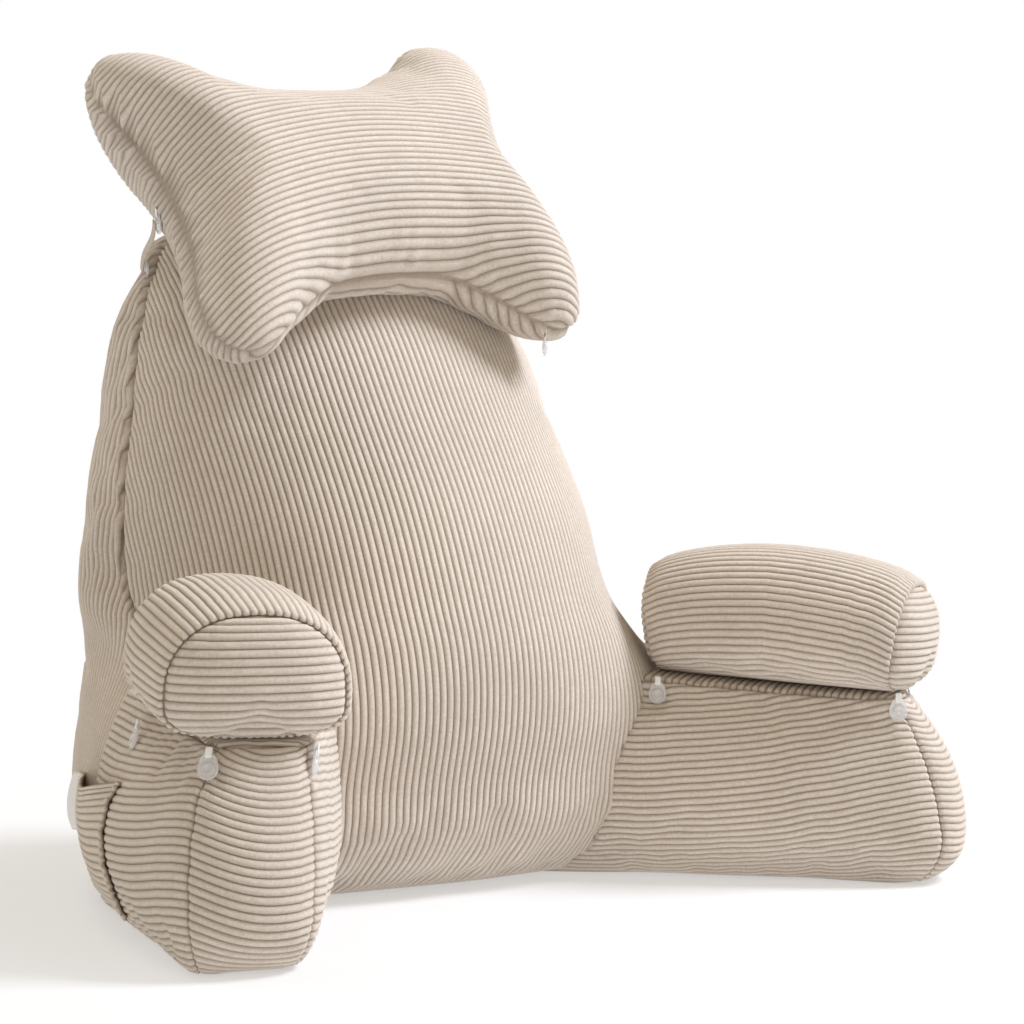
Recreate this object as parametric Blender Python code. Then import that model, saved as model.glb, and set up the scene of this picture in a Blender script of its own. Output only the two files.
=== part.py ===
"""Reading pillow with arms: a wedge backrest with two arms, two arm pads and a head pillow.

Metres, +Z up. The front of the backrest faces -Y and +X is the viewer's right. Each arm has its
own splay, because the filled cover isn't quite even from side to side.
"""
import bmesh
import bpy
import numpy as np
from mathutils import Vector
from mathutils.bvhtree import BVHTree

# ---------------------------------------------------------------- driving dimensions
ORIGIN = (0.0063, 0.0388)  # plan middle of the whole pillow, measured from between the arm joins
SEAM_DEPTH = 0.003        # how far a sewn line draws the cover in
SEAM_WIDTH = 0.008        # reach of that channel to either side
FOOT_RADIUS = 0.022       # rounding of a filled edge just above the floor
PIECE_GAP = 0.0005        # air between two pieces that touch
SHARP_ANGLE = 0.7         # edges steeper than this, in radians, stay sharp

ARM_HEIGHT = 0.158        # seam height at the front
CROWN = 0.013             # rise of the arm's filled top above its seams
ARM_FRONT_LEAN = 0.042    # top of the front face set back from its foot
ARM_ROOT = 0.45           # share of its length that an arm reaches behind its join, then trimmed
ARM_JOIN = (0.149, 0.0)   # foot of the inner face where it meets the backrest
ARM_INNER = {"left": (0.320, -0.251), "right": (0.350, -0.232)}
ARM_OUTER = {"left": (0.402, -0.220), "right": (0.414, -0.178)}
ARM_FLANK = {"left": (0.328, 0.040), "right": (0.328, 0.040)}
ARM_FILL = {"left": 0.55, "right": 1.0}     # how plump the inner face is

PAD_LENGTH = {"left": 0.232, "right": 0.229}
PAD_WIDTH = {"left": 0.140, "right": 0.134}
PAD_HEIGHT = {"left": 0.093, "right": 0.106}
PAD_TURN = {"left": 4.5, "right": 0.0}      # degrees off the middle line of its arm
PAD_SHIFT = {"left": -0.003, "right": 0.0}  # sideways, outwards
PAD_SETTLE = 0.0003       # how far a pad settles onto the flats between the crown's edges
PAD_NOSE = 0.006          # how far a pad's front seam stands ahead of the arm's top

HEAD_THICKNESS = 0.135
HEAD_LEAN = 38.0
HEAD_ROLL = 6.5
HEAD_CENTRE = (-0.038, 0.137, 0.614)
HEAD_WRAP = 0.35          # how far its ends fall back round the backrest

CLIP_WIDTH = 0.0165
CLIP_TIP = 0.55           # how far the tip stands beyond the round, as a share of the radius
CLIP_BUTTON = 0.0056      # radius of the snap button
CLIP_PLATE = 0.0022
CLIP_BOSS = 0.0044

# Snap tabs on an arm's top: end, lane and (forward, outward, up) from that front corner.
CLIP_PLACES = {
    "left": (
        ("front", "inner", (0.020, -0.020, 0.001)),
        ("front", "outer", (0.030, -0.006, 0.004)),
        ("rear", "inner", (-0.215, -0.030, 0.006)),
        ("rear", "outer", (-0.170, 0.080, -0.004)),
    ),
    "right": (
        ("front", "inner", (0.012, -0.030, 0.004)),
        ("front", "outer", (0.020, 0.020, 0.006)),
        ("rear", "inner", (-0.215, -0.030, 0.006)),
        ("rear", "outer", (-0.170, 0.080, -0.004)),
    ),
}
CLIP_STAND = 0.0012       # air between a button and the cover
# Snap tabs of the head pillow: name, what its tip is sewn to, where, which way it hangs and
# which way it faces.
HEAD_CLIPS = (
    ("head_clip_left", "pillow", (-0.216, 0.168, 0.594), (0.2, 0.5, -0.8), (-0.94, 0.28, -0.17)),
    ("head_ring_left", "body", (-0.182, 0.253, 0.542), (-0.3, -0.6, 0.8), (-0.94, 0.28, -0.17)),
    ("head_clip_right", "pillow", (0.130, 0.066, 0.496), (0.05, 0.0, -1.0), (0.81, -0.59, 0.0)),
)
STRAP_WIDTH = 0.008
STRAP_SHEET = 0.0015
STRAP_TAIL = 0.004        # how far the strap runs past each button

POCKET_SHEET = 0.0022
POCKET_STAND = 0.0014     # air behind its sewn edges
POCKET_TOP = (-0.063, 0.136)     # its mouth along Y, from the sewn front to the sewn back edge
POCKET_RAKE = (0.007, 0.046)     # how far each sewn edge steps back towards the foot
POCKET_BOW = 0.022        # how far the front edge bows back at half height
POCKET_FOOT = 0.017
POCKET_MOUTH = (0.124, 0.108)    # height of the mouth at the front and at the back
POCKET_SAG = 0.006
POCKET_GAPE = 0.018
POCKET_STEPS = 18
POCKET_ROWS = 7

LABEL_SIZE = (0.015, 0.054)
LABEL_SHEET = 0.001
LABEL_DROP = 0.001        # how far below the pocket's mouth it starts
LABEL_CURL = 0.003
LABEL_AWAY = (0.03, 1.0, 0.0)

# Backrest, level by level: half width at the front seams, depth of those seams, belly of the
# front panel, its roundness (1 a parabola, 0.5 an ellipse), half width and depth at the back.
BODY_COLUMNS = ("z", "half", "seam_y", "belly", "round", "rear_half", "rear_y")
BODY_LEVELS = (
    (0.000, 0.310, 0.048, 0.032, 1.50, 0.230, 0.262),
    (0.022, 0.322, 0.036, 0.050, 1.40, 0.238, 0.268),
    (0.050, 0.326, 0.030, 0.064, 1.40, 0.242, 0.274),
    (0.100, 0.320, 0.030, 0.080, 1.10, 0.242, 0.280),
    (0.150, 0.300, 0.040, 0.100, 0.85, 0.240, 0.284),
    (0.185, 0.276, 0.064, 0.124, 0.75, 0.236, 0.288),
    (0.215, 0.254, 0.110, 0.162, 0.64, 0.232, 0.290),
    (0.250, 0.243, 0.168, 0.208, 0.58, 0.228, 0.294),
    (0.330, 0.232, 0.202, 0.207, 0.56, 0.216, 0.302),
    (0.420, 0.214, 0.222, 0.170, 0.55, 0.198, 0.304),
    (0.500, 0.196, 0.236, 0.130, 0.55, 0.182, 0.298),
    (0.545, 0.180, 0.244, 0.098, 0.56, 0.168, 0.292),
    (0.575, 0.158, 0.252, 0.066, 0.60, 0.148, 0.286),
    (0.590, 0.128, 0.258, 0.040, 0.65, 0.120, 0.280),
)
BODY_REAR_BULGE = 0.022
BODY_SIDE_BULGE = 0.006

# Offset of an arm's faces from their seam lines, over the height of the arm.
ARM_COLUMNS = ("z", "inner", "outer", "front")
ARM_LEVELS = (
    (0.00, 0.004, 0.000, -0.008),
    (0.04, 0.010, 0.006, -0.002),
    (0.13, 0.017, 0.012, 0.005),
    (0.28, 0.022, 0.017, 0.009),
    (0.50, 0.022, 0.018, 0.011),
    (0.70, 0.017, 0.015, 0.010),
    (0.88, 0.009, 0.008, 0.007),
    (1.00, 0.000, 0.000, 0.002),
)

# Outline of the head pillow in its own plane, from the top middle round to the bottom: sideways
# and up for the right half, then for the left half, whose lower lobe is fuller.
HEAD_OUTLINE = (
    (0.000, 0.118, 0.000, 0.118),
    (0.060, 0.124, 0.060, 0.123),
    (0.118, 0.152, 0.112, 0.146),
    (0.166, 0.182, 0.152, 0.174),
    (0.203, 0.180, 0.186, 0.174),
    (0.214, 0.142, 0.198, 0.140),
    (0.196, 0.085, 0.186, 0.085),
    (0.182, 0.020, 0.180, 0.020),
    (0.184, -0.045, 0.188, -0.045),
    (0.198, -0.102, 0.206, -0.100),
    (0.199, -0.146, 0.207, -0.140),
    (0.176, -0.166, 0.186, -0.160),
    (0.138, -0.152, 0.150, -0.150),
    (0.095, -0.120, 0.106, -0.121),
    (0.050, -0.100, 0.054, -0.100),
)

MATERIALS = {
    "Corduroy": ((0.66, 0.58, 0.49, 1.0), 0.95, 0.0),
    "ClearPlastic": ((0.86, 0.87, 0.88, 1.0), 0.15, 0.0),
    "LabelTape": ((0.90, 0.90, 0.88, 1.0), 0.60, 0.0),
}


# ---------------------------------------------------------------- small helpers
def material(name):
    """Make or find one of the named materials."""
    found = bpy.data.materials.get(name)
    if found:
        return found
    colour, roughness, metallic = MATERIALS[name]
    made = bpy.data.materials.new(name)
    made.use_nodes = True
    made.diffuse_color = colour
    shader = made.node_tree.nodes["Principled BSDF"]
    shader.inputs["Base Color"].default_value = colour
    shader.inputs["Roughness"].default_value = roughness
    shader.inputs["Metallic"].default_value = metallic
    return made


def add_object(name, mesh_data, material_name):
    """Turn a bmesh into one object with outward faces, shaded smooth but for its sharp edges."""
    bmesh.ops.triangulate(mesh_data, faces=mesh_data.faces[:])
    bmesh.ops.recalc_face_normals(mesh_data, faces=mesh_data.faces[:])
    mesh = bpy.data.meshes.new(name)
    mesh_data.to_mesh(mesh)
    mesh_data.free()
    mesh.shade_smooth()
    mesh.set_sharp_from_angle(angle=SHARP_ANGLE)
    mesh.materials.append(material(material_name))
    made = bpy.data.objects.new(name, mesh)
    bpy.context.scene.collection.objects.link(made)
    return made


def column(table, names, name, at):
    """One column of a level table, smoothly interpolated at the given height."""
    rows = np.array(table)
    x = rows[:, 0]
    y = rows[:, names.index(name)]
    slope = np.gradient(y, x)
    i = int(np.clip(np.searchsorted(x, at) - 1, 0, len(x) - 2))
    step = x[i + 1] - x[i]
    t = (at - x[i]) / step
    a = (2 * t ** 3 - 3 * t ** 2 + 1) * y[i] + (t ** 3 - 2 * t ** 2 + t) * step * slope[i]
    b = (3 * t ** 2 - 2 * t ** 3) * y[i + 1] + (t ** 3 - t ** 2) * step * slope[i + 1]
    return a + b


def smooth_loop(points, steps):
    """Points of a closed Catmull-Rom curve through the given ones."""
    points = np.array(points)
    count = len(points)
    made = []
    for i in range(count):
        p0, p1, p2, p3 = (points[(i + k - 1) % count] for k in range(4))
        for step in range(steps):
            t = step / steps
            made.append(0.5 * (2 * p1 + (p2 - p0) * t + (2 * p0 - 5 * p1 + 4 * p2 - p3) * t * t
                               + (3 * p1 - p0 - 3 * p2 + p3) * t ** 3))
    return np.array(made)


def towards(points, start, end, share):
    """Draw a loop in towards a middle line from start to end."""
    points = np.array(points, float)
    start, end = np.array(start, float), np.array(end, float)
    along = end - start
    t = np.clip((points - start) @ along / (along @ along), 0, 1)
    return points + (start + t[:, None] * along - points) * share


def skin(rings, close_first=True, close_last=True):
    """Loft a list of equal rings into one closed bmesh."""
    made = bmesh.new()
    loops = [[made.verts.new(p) for p in ring] for ring in rings]
    count = len(loops[0])
    for low, high in zip(loops, loops[1:]):
        for i in range(count):
            j = (i + 1) % count
            made.faces.new((low[i], low[j], high[j], high[i]))
    if close_first:
        made.faces.new(loops[0][::-1])
    if close_last:
        made.faces.new(loops[-1])
    return made


def seam_dip(distance):
    """Depth of a sewn channel at a distance from its stitch line."""
    return SEAM_DEPTH * np.exp(-(distance / (0.5 * SEAM_WIDTH)) ** 2)


def draw_in(ring, start, end, amount):
    """Move a plan outline by one distance towards a middle line from start to end."""
    ring = np.asarray(ring)
    inward = towards(ring, start, end, 1.0) - ring
    return ring + inward * amount / np.linalg.norm(inward, axis=1)[:, None]


def foot_rounding(z):
    """How far a soft edge has drawn in by the time it touches the floor."""
    rise = np.clip(z / FOOT_RADIUS, 0.0, 1.0)
    return FOOT_RADIUS * (1.0 - np.sqrt(1.0 - (1.0 - rise) ** 2)) * 0.75


# ---------------------------------------------------------------- backrest
def body_ring(z, front=26, side=5, rear=12):
    """Plan outline of the backrest at one height, with its four corner seams drawn in."""
    half, seam_y, belly, power, rear_half, rear_y = (
        float(column(BODY_LEVELS, BODY_COLUMNS, name, z)) for name in BODY_COLUMNS[1:])
    ring = []
    for i in range(front + 1):
        across = -np.cos(np.pi * i / front)
        bow = max(0.0, 1.0 - abs(across) ** 2.1) ** power
        ring.append((half * across, seam_y - belly * bow))
    for i in range(1, side):
        t = i / side
        ring.append((half + (rear_half - half) * t + BODY_SIDE_BULGE * np.sin(np.pi * t),
                     seam_y + (rear_y - seam_y) * t))
    for i in range(rear + 1):
        across = np.cos(np.pi * i / rear)
        ring.append((rear_half * across, rear_y + BODY_REAR_BULGE * (1 - across ** 4)))
    for i in range(side - 1, 0, -1):
        t = i / side
        ring.append((-(half + (rear_half - half) * t + BODY_SIDE_BULGE * np.sin(np.pi * t)),
                     seam_y + (rear_y - seam_y) * t))
    ring = np.array(ring)
    corners = np.array([(-half, seam_y), (half, seam_y), (rear_half, rear_y), (-rear_half, rear_y)])
    middle = np.array((0.0, 0.5 * (seam_y + rear_y)))
    for corner in corners:
        inward = middle - corner
        inward /= np.linalg.norm(inward)
        distance = np.linalg.norm(ring - corner, axis=1)
        ring = ring + seam_dip(distance)[:, None] * inward
    return draw_in(ring, (-0.16, 0.15), (0.16, 0.15), foot_rounding(z))


def backrest():
    """The wedge-shaped backrest with a flat foot and a rounded top edge."""
    heights = [0.0, 0.004, 0.011, 0.022, 0.05, 0.085, 0.12, 0.15, 0.18, 0.21, 0.24, 0.27, 0.30, 0.335,
               0.37, 0.405, 0.44, 0.475, 0.505, 0.53, 0.55, 0.567, 0.58, 0.59]
    rings = []
    for z in heights:
        rings.append([(x, y, z) for x, y in body_ring(z)])
    top = body_ring(heights[-1])
    ridge_y = float(np.mean(top[:, 1]))
    for share, lift in ((0.35, 0.006), (0.75, 0.010)):
        drawn = towards(top, (-0.085, ridge_y), (0.085, ridge_y), share)
        rings.append([(x, y, heights[-1] + lift) for x, y in drawn])
    return add_object("back_body", skin(rings), "Corduroy")


# ---------------------------------------------------------------- arms
def side_point(side, point):
    """A plan point given for the right-hand side, on the side asked for."""
    return np.array((-point[0] if side == "left" else point[0], point[1]))


def arm_corners(side, share):
    """Plan corners of an arm at a share of its height: join, inner, outer and flank."""
    join = side_point(side, ARM_JOIN)
    inner = side_point(side, ARM_INNER[side])
    outer = side_point(side, ARM_OUTER[side])
    flank = side_point(side, ARM_FLANK[side])
    forward = inner - join
    forward /= np.linalg.norm(forward)
    setback = ARM_FRONT_LEAN * share ** 2 * forward
    flank = flank + (join - flank) * 0.10 * share
    return join, inner - setback, outer - setback, flank


def bowed(start, end, steps, bow, ends=0.7):
    """Points from start to short of end, swollen to the right of their direction."""
    run = end - start
    right = np.array((run[1], -run[0])) / np.linalg.norm(run)
    return [start + run * (i / steps) + right * bow * np.sin(np.pi * i / steps) ** ends
            for i in range(steps)]


def arm_ring(side, share, long_steps=12, cross_steps=6):
    """Plan outline of an arm at a share of its height: inner, front, outer and root sides."""
    join, inner, outer, flank = arm_corners(side, share)
    swell_inner, swell_outer, swell_front = (
        float(column(ARM_LEVELS, ARM_COLUMNS, name, share)) for name in ARM_COLUMNS[1:])
    turn = -1.0 if side == "right" else 1.0
    middle = 0.25 * (join + inner + outer + flank)
    back_inner = join - ARM_ROOT * (inner - join)
    back_outer = flank - ARM_ROOT * (outer - flank) * 0.9
    ring = (bowed(back_inner, inner, long_steps, -turn * swell_inner * ARM_FILL[side])
            + bowed(inner, outer, cross_steps, -turn * swell_front)
            + bowed(outer, back_outer, long_steps, -turn * swell_outer)
            + bowed(back_outer, back_inner, cross_steps, 0.0))
    ring = np.array(ring)
    for corner in (inner, outer):
        inward = (middle - corner) / np.linalg.norm(middle - corner)
        distance = np.linalg.norm(ring - corner, axis=1)
        ring = ring + seam_dip(distance)[:, None] * inward
    return draw_in(ring, 0.6 * join + 0.4 * flank, middle, foot_rounding(share * ARM_HEIGHT))


def arm_height(side, points):
    """Height of an arm's top seam at plan points, rising towards the backrest."""
    join, inner, outer, _ = arm_corners(side, 1.0)
    forward = inner - join
    reach = np.linalg.norm(forward)
    behind = 1.0 - ((np.asarray(points) - join) @ forward) / reach ** 2
    return ARM_HEIGHT + 0.018 * np.clip(behind, 0, 2) ** 1.5


def arm_middle(side):
    """Middle line of an arm's top, from its root to its nose."""
    join, inner, outer, flank = arm_corners(side, 1.0)
    nose = 0.5 * (inner + outer)
    root = 0.5 * (join + flank)
    return root, nose


def arm(side):
    """One lower arm, flat underneath, its root trimmed to the shape of the backrest."""
    rings = []
    for share in (0.0, 0.02, 0.06, 0.13, 0.22, 0.34, 0.48, 0.62, 0.75, 0.87, 0.95, 1.0):
        plan = arm_ring(side, share)
        tall = arm_height(side, plan)
        rings.append([(x, y, share * z) for (x, y), z in zip(plan, tall)])
    plan = arm_ring(side, 1.0)
    root, nose = arm_middle(side)
    start = root - 0.25 * (nose - root)
    end = nose - 0.14 * (nose - root)
    for share, rise in ((0.16, 0.42), (0.45, 0.85), (0.75, 1.0)):
        drawn = towards(plan, start, end, share)
        tall = arm_height(side, drawn)
        rings.append([(x, y, z + rise * CROWN) for (x, y), z in zip(drawn, tall)])
    return add_object("arm_" + side, skin(rings), "Corduroy")


def trim(target, cutter_source):
    """Cut a piece back to just clear of a neighbour."""
    cutter = cutter_source.copy()
    cutter.data = cutter_source.data.copy()
    bpy.context.scene.collection.objects.link(cutter)
    swollen = bmesh.new()
    swollen.from_mesh(cutter.data)
    swollen.normal_update()
    for vert in swollen.verts:
        vert.co += vert.normal * PIECE_GAP * 1.3
        if vert.co.z < 0.004:
            vert.co.z = -0.01
    swollen.to_mesh(cutter.data)
    swollen.free()
    cut = target.modifiers.new("trim", "BOOLEAN")
    cut.operation = "DIFFERENCE"
    cut.solver = "EXACT"
    cut.object = cutter
    bpy.context.view_layer.update()
    shaped = bpy.data.meshes.new_from_object(
        target.evaluated_get(bpy.context.evaluated_depsgraph_get()))
    target.modifiers.clear()
    target.data = shaped
    bpy.data.objects.remove(cutter)
    keep_largest(target)


def keep_largest(target):
    """Drop every loose part but the largest, and tidy what a cut left."""
    work = bmesh.new()
    work.from_mesh(target.data)
    bmesh.ops.remove_doubles(work, verts=work.verts[:], dist=2e-5)
    bmesh.ops.dissolve_degenerate(work, edges=work.edges[:], dist=2e-5)
    unseen = set(work.verts)
    parts = []
    while unseen:
        stack = [unseen.pop()]
        part = set(stack)
        while stack:
            for edge in stack.pop().link_edges:
                for vert in edge.verts:
                    if vert in unseen:
                        unseen.discard(vert)
                        part.add(vert)
                        stack.append(vert)
        parts.append(part)
    parts.sort(key=len, reverse=True)
    for part in parts[1:]:
        bmesh.ops.delete(work, geom=list(part), context="VERTS")
    bmesh.ops.triangulate(work, faces=work.faces[:])
    bmesh.ops.recalc_face_normals(work, faces=work.faces[:])
    work.to_mesh(target.data)
    work.free()


# ---------------------------------------------------------------- arm pads
def pad_section(side, share, count=28):
    """D-shaped cross section, full size at share 1: (sideways, up) from the bottom middle."""
    half, tall = 0.5 * PAD_WIDTH[side] * share, PAD_HEIGHT[side] * share
    waist = 0.40 * PAD_HEIGHT[side]
    points = []
    for i in range(count):
        angle = 2 * np.pi * i / count
        c, s = np.cos(angle), np.sin(angle)
        across = np.sign(c) * abs(c) ** 0.75 * half
        up = abs(s) ** 0.85 * (tall - waist) if s > 0 else -abs(s) ** 0.6 * waist * min(1.0, share)
        points.append((across, waist + up))
    return np.array(points)


def pad_frame(side):
    """Front middle of a pad in plan, with its directions forwards and outwards."""
    root, nose = arm_middle(side)
    forward = (nose - root) / np.linalg.norm(nose - root)
    turn = np.radians(PAD_TURN[side]) * (1.0 if side == "left" else -1.0)
    spun = np.array((forward[0] * np.cos(turn) - forward[1] * np.sin(turn),
                     forward[0] * np.sin(turn) + forward[1] * np.cos(turn)))
    outward = np.array((spun[1], -spun[0])) * (1.0 if side == "left" else -1.0)
    return nose + PAD_NOSE * forward + PAD_SHIFT[side] * outward, spun, outward


def pad(side):
    """One bolster pad that lies along the top of an arm, with box ends."""
    front, forward, outward = pad_frame(side)
    length = PAD_LENGTH[side]
    start = front - length * forward
    low = float(arm_height(side, front)) + CROWN - PAD_SETTLE
    high = float(arm_height(side, start)) + CROWN - PAD_SETTLE
    ends = ((0.30, 0.020), (0.60, 0.018), (0.82, 0.012), (0.94, 0.005))
    stations = [(-out, share) for share, out in ends]
    steps = 12
    for i in range(steps + 1):
        t = i / steps
        swell = 0.12 * np.sin(np.pi * t) ** 0.6
        stations.append((length * t, 0.975 if i in (0, steps) else 1.0 + swell))
    stations += [(length + out, share) for share, out in reversed(ends)]
    rings = []
    for along, share in stations:
        base = high + (low - high) * along / length
        ring = []
        for sideways, up in pad_section(side, share):
            x, y = start + along * forward + sideways * outward
            ring.append((x, y, base + up))
        rings.append(ring)
    return add_object("pad_" + side, skin(rings), "Corduroy")


# ---------------------------------------------------------------- head pillow
def head_place(a, b, depth):
    """Place a point of the head pillow's own plane over the top of the backrest."""
    lean = np.radians(HEAD_LEAN)
    roll = np.radians(HEAD_ROLL)
    a, b = a * np.cos(roll) - b * np.sin(roll), a * np.sin(roll) + b * np.cos(roll)
    normal = np.array((0.0, -np.cos(lean), np.sin(lean)))
    up = np.array((0.0, np.sin(lean), np.cos(lean)))
    sag = -HEAD_WRAP * a * a
    return np.array(HEAD_CENTRE) + a * np.array((1.0, 0.0, 0.0)) + b * up + (depth + sag) * normal


def head_pillow():
    """The butterfly-shaped head pillow that leans over the backrest's top edge."""
    half = [(a, b) for a, b, _, _ in HEAD_OUTLINE]
    other = [(-a, b) for _, _, a, b in reversed(HEAD_OUTLINE[1:])]
    outline = smooth_loop(half + other, 2)
    start, end = (-0.115, 0.0), (0.115, 0.0)
    profile = ((0.0, 0.0), (0.03, 0.20), (0.10, 0.43), (0.22, 0.66), (0.38, 0.84), (0.58, 0.95),
               (0.80, 1.0))
    rings = []
    for share, thick in reversed(profile[1:]):
        drawn = towards(outline, start, end, share)
        rings.append([head_place(a, b, -0.5 * HEAD_THICKNESS * thick) for a, b in drawn])
    for share, thick in profile:
        drawn = towards(outline, start, end, share)
        rings.append([head_place(a, b, 0.5 * HEAD_THICKNESS * thick) for a, b in drawn])
    return add_object("head_pillow", skin(rings), "Corduroy")


# ---------------------------------------------------------------- clips
def clip(name, centre, facing, upwards):
    """A teardrop snap tab: a rimmed plate with a round button on both faces."""
    facing = Vector(facing).normalized()
    upwards = Vector(upwards)
    upwards = (upwards - facing * upwards.dot(facing)).normalized()
    across = upwards.cross(facing)
    count = 14
    angles = [2 * np.pi * i / count for i in range(count)]
    tear = [0.5 * CLIP_WIDTH * (1.0 + CLIP_TIP * max(0.0, np.cos(a)) ** 3) for a in angles]
    thin = 0.5 * CLIP_PLATE
    profile = [([1.00 * r for r in tear], 0.6 * thin), ([0.88 * r for r in tear], thin),
               ([0.76 * r for r in tear], 0.6 * thin), ([CLIP_BUTTON] * count, 0.6 * thin),
               ([0.84 * CLIP_BUTTON] * count, 0.5 * CLIP_BOSS)]
    rings = []
    for sign, order in ((-1.0, profile[::-1]), (1.0, profile)):
        for radii, depth in order:
            rings.append([Vector(centre) + upwards * (r * np.cos(a)) + across * (r * np.sin(a))
                          + facing * (sign * depth) for r, a in zip(radii, angles)])
    return add_object(name, skin(rings), "ClearPlastic")


def corner_clips(side, lower):
    """Four snap tabs round an arm's top, each with its button against the cover."""
    join, inner, outer, flank = arm_corners(side, 1.0)
    forward = (inner - join) / np.linalg.norm(inner - join)
    outward = np.array((forward[1], -forward[0])) * (1.0 if side == "left" else -1.0)
    tree = surface_of(lower)
    for end, lane, at in CLIP_PLACES[side]:
        base = inner if lane == "inner" else outer
        plan = base + at[0] * forward + at[1] * outward
        aim = Vector((plan[0], plan[1], float(arm_height(side, plan)) + at[2]))
        spot, normal, _, _ = tree.find_nearest(aim)
        facing = (normal.normalized() + Vector((0, 0, -0.15))).normalized()
        centre = spot + facing * (0.5 * CLIP_BOSS + CLIP_STAND)
        clip("clip_%s_%s_%s" % (side, end, lane), centre, facing, (0, 0, 1))


def strip(name, edge_a, edge_b, thick, material_name):
    """A thin sheet between two edges that have the same number of points."""
    rows = [[Vector(p) for p in edge_a], [Vector(p) for p in edge_b]]
    made = bmesh.new()
    grid = []
    for row in rows:
        for sign in (-0.5, 0.5):
            line = []
            for i, point in enumerate(row):
                along = row[min(i + 1, len(row) - 1)] - row[max(i - 1, 0)]
                normal = along.cross(rows[1][i] - rows[0][i]).normalized()
                line.append(made.verts.new(point + normal * sign * thick))
            grid.append(line)
    low, high, low_b, high_b = grid
    for i in range(len(low) - 1):
        for p, q in ((low, high), (high, high_b), (high_b, low_b), (low_b, low)):
            made.faces.new((p[i], p[i + 1], q[i + 1], q[i]))
    for i in (0, -1):
        made.faces.new((low[i], high[i], high_b[i], low_b[i]))
    return add_object(name, made, material_name)


def seat(piece, tree, away, gap):
    """Slide a piece along one direction until it lies a small gap from a surface."""
    away = Vector(away).normalized()
    moved = Vector((0.0, 0.0, 0.0))
    for _ in range(6):
        least = 1.0
        for vert in piece.data.vertices:
            point = vert.co + moved
            spot, normal, _, reach = tree.find_nearest(point)
            least = min(least, reach if (point - spot).dot(normal) > 0 else -reach)
        moved += away * (gap - least)
    for vert in piece.data.vertices:
        vert.co += moved
    return moved


def hung_clip(name, carrier, aim, hang, facing):
    """A snap tab sewn by its tip to the nearest cover, hanging in a given direction."""
    tree = surface_of(carrier)
    spot, normal, _, _ = tree.find_nearest(Vector(aim))
    facing = Vector(facing).normalized()
    hang = Vector(hang)
    hang = (hang - facing * hang.dot(facing)).normalized()
    reach = 0.5 * CLIP_WIDTH * (1.0 + CLIP_TIP)
    centre = spot + normal * PIECE_GAP + hang * reach
    centre += seat(clip(name, centre, facing, -hang), tree, normal, PIECE_GAP)
    return centre + facing * (0.5 * CLIP_BOSS + PIECE_GAP + 0.5 * STRAP_SHEET), facing, hang


def head_fastenings(pillow, body):
    """The snap tabs that hold the head pillow, the left pair joined by a strap."""
    carriers = {"pillow": pillow, "body": body}
    ends = {}
    for name, carrier, aim, hang, facing in HEAD_CLIPS:
        ends[name] = hung_clip(name, carriers[carrier], aim, hang, facing)
    (start, face_a, down_a), (end, face_b, up_b) = ends["head_clip_left"], ends["head_ring_left"]
    start, end = start - down_a * STRAP_TAIL, end - up_b * STRAP_TAIL
    reach = 0.9 * (end - start).length
    edge_a, edge_b = [], []
    for i in range(13):
        t = i / 12
        middle = ((2 * t ** 3 - 3 * t ** 2 + 1) * start + (t ** 3 - 2 * t ** 2 + t) * reach * down_a
                  + (3 * t ** 2 - 2 * t ** 3) * end + (t ** 3 - t ** 2) * reach * -up_b)
        run = ((6 * t ** 2 - 6 * t) * (start - end) + (3 * t ** 2 - 4 * t + 1) * reach * down_a
               + (3 * t ** 2 - 2 * t) * reach * -up_b)
        across = run.cross(face_a * (1 - t) + face_b * t).normalized() * 0.5 * STRAP_WIDTH
        edge_a.append(middle - across)
        edge_b.append(middle + across)
    strip("head_strap", edge_a, edge_b, STRAP_SHEET, "Corduroy")


# ---------------------------------------------------------------- pocket and label
def surface_of(*pieces):
    """Search tree over the surface of some pieces."""
    merged = bmesh.new()
    for piece in pieces:
        merged.from_mesh(piece.data)
    bmesh.ops.triangulate(merged, faces=merged.faces[:])
    tree = BVHTree.FromBMesh(merged)
    merged.free()
    return tree


def bridged(depths, passes=60):
    """Pull the hollows of a row of depths out until the row spans them, as taut cloth does."""
    depths = np.array(depths)
    for _ in range(passes):
        depths[1:-1] = np.minimum(depths[1:-1], 0.5 * (depths[:-2] + depths[2:]))
    return depths


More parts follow.
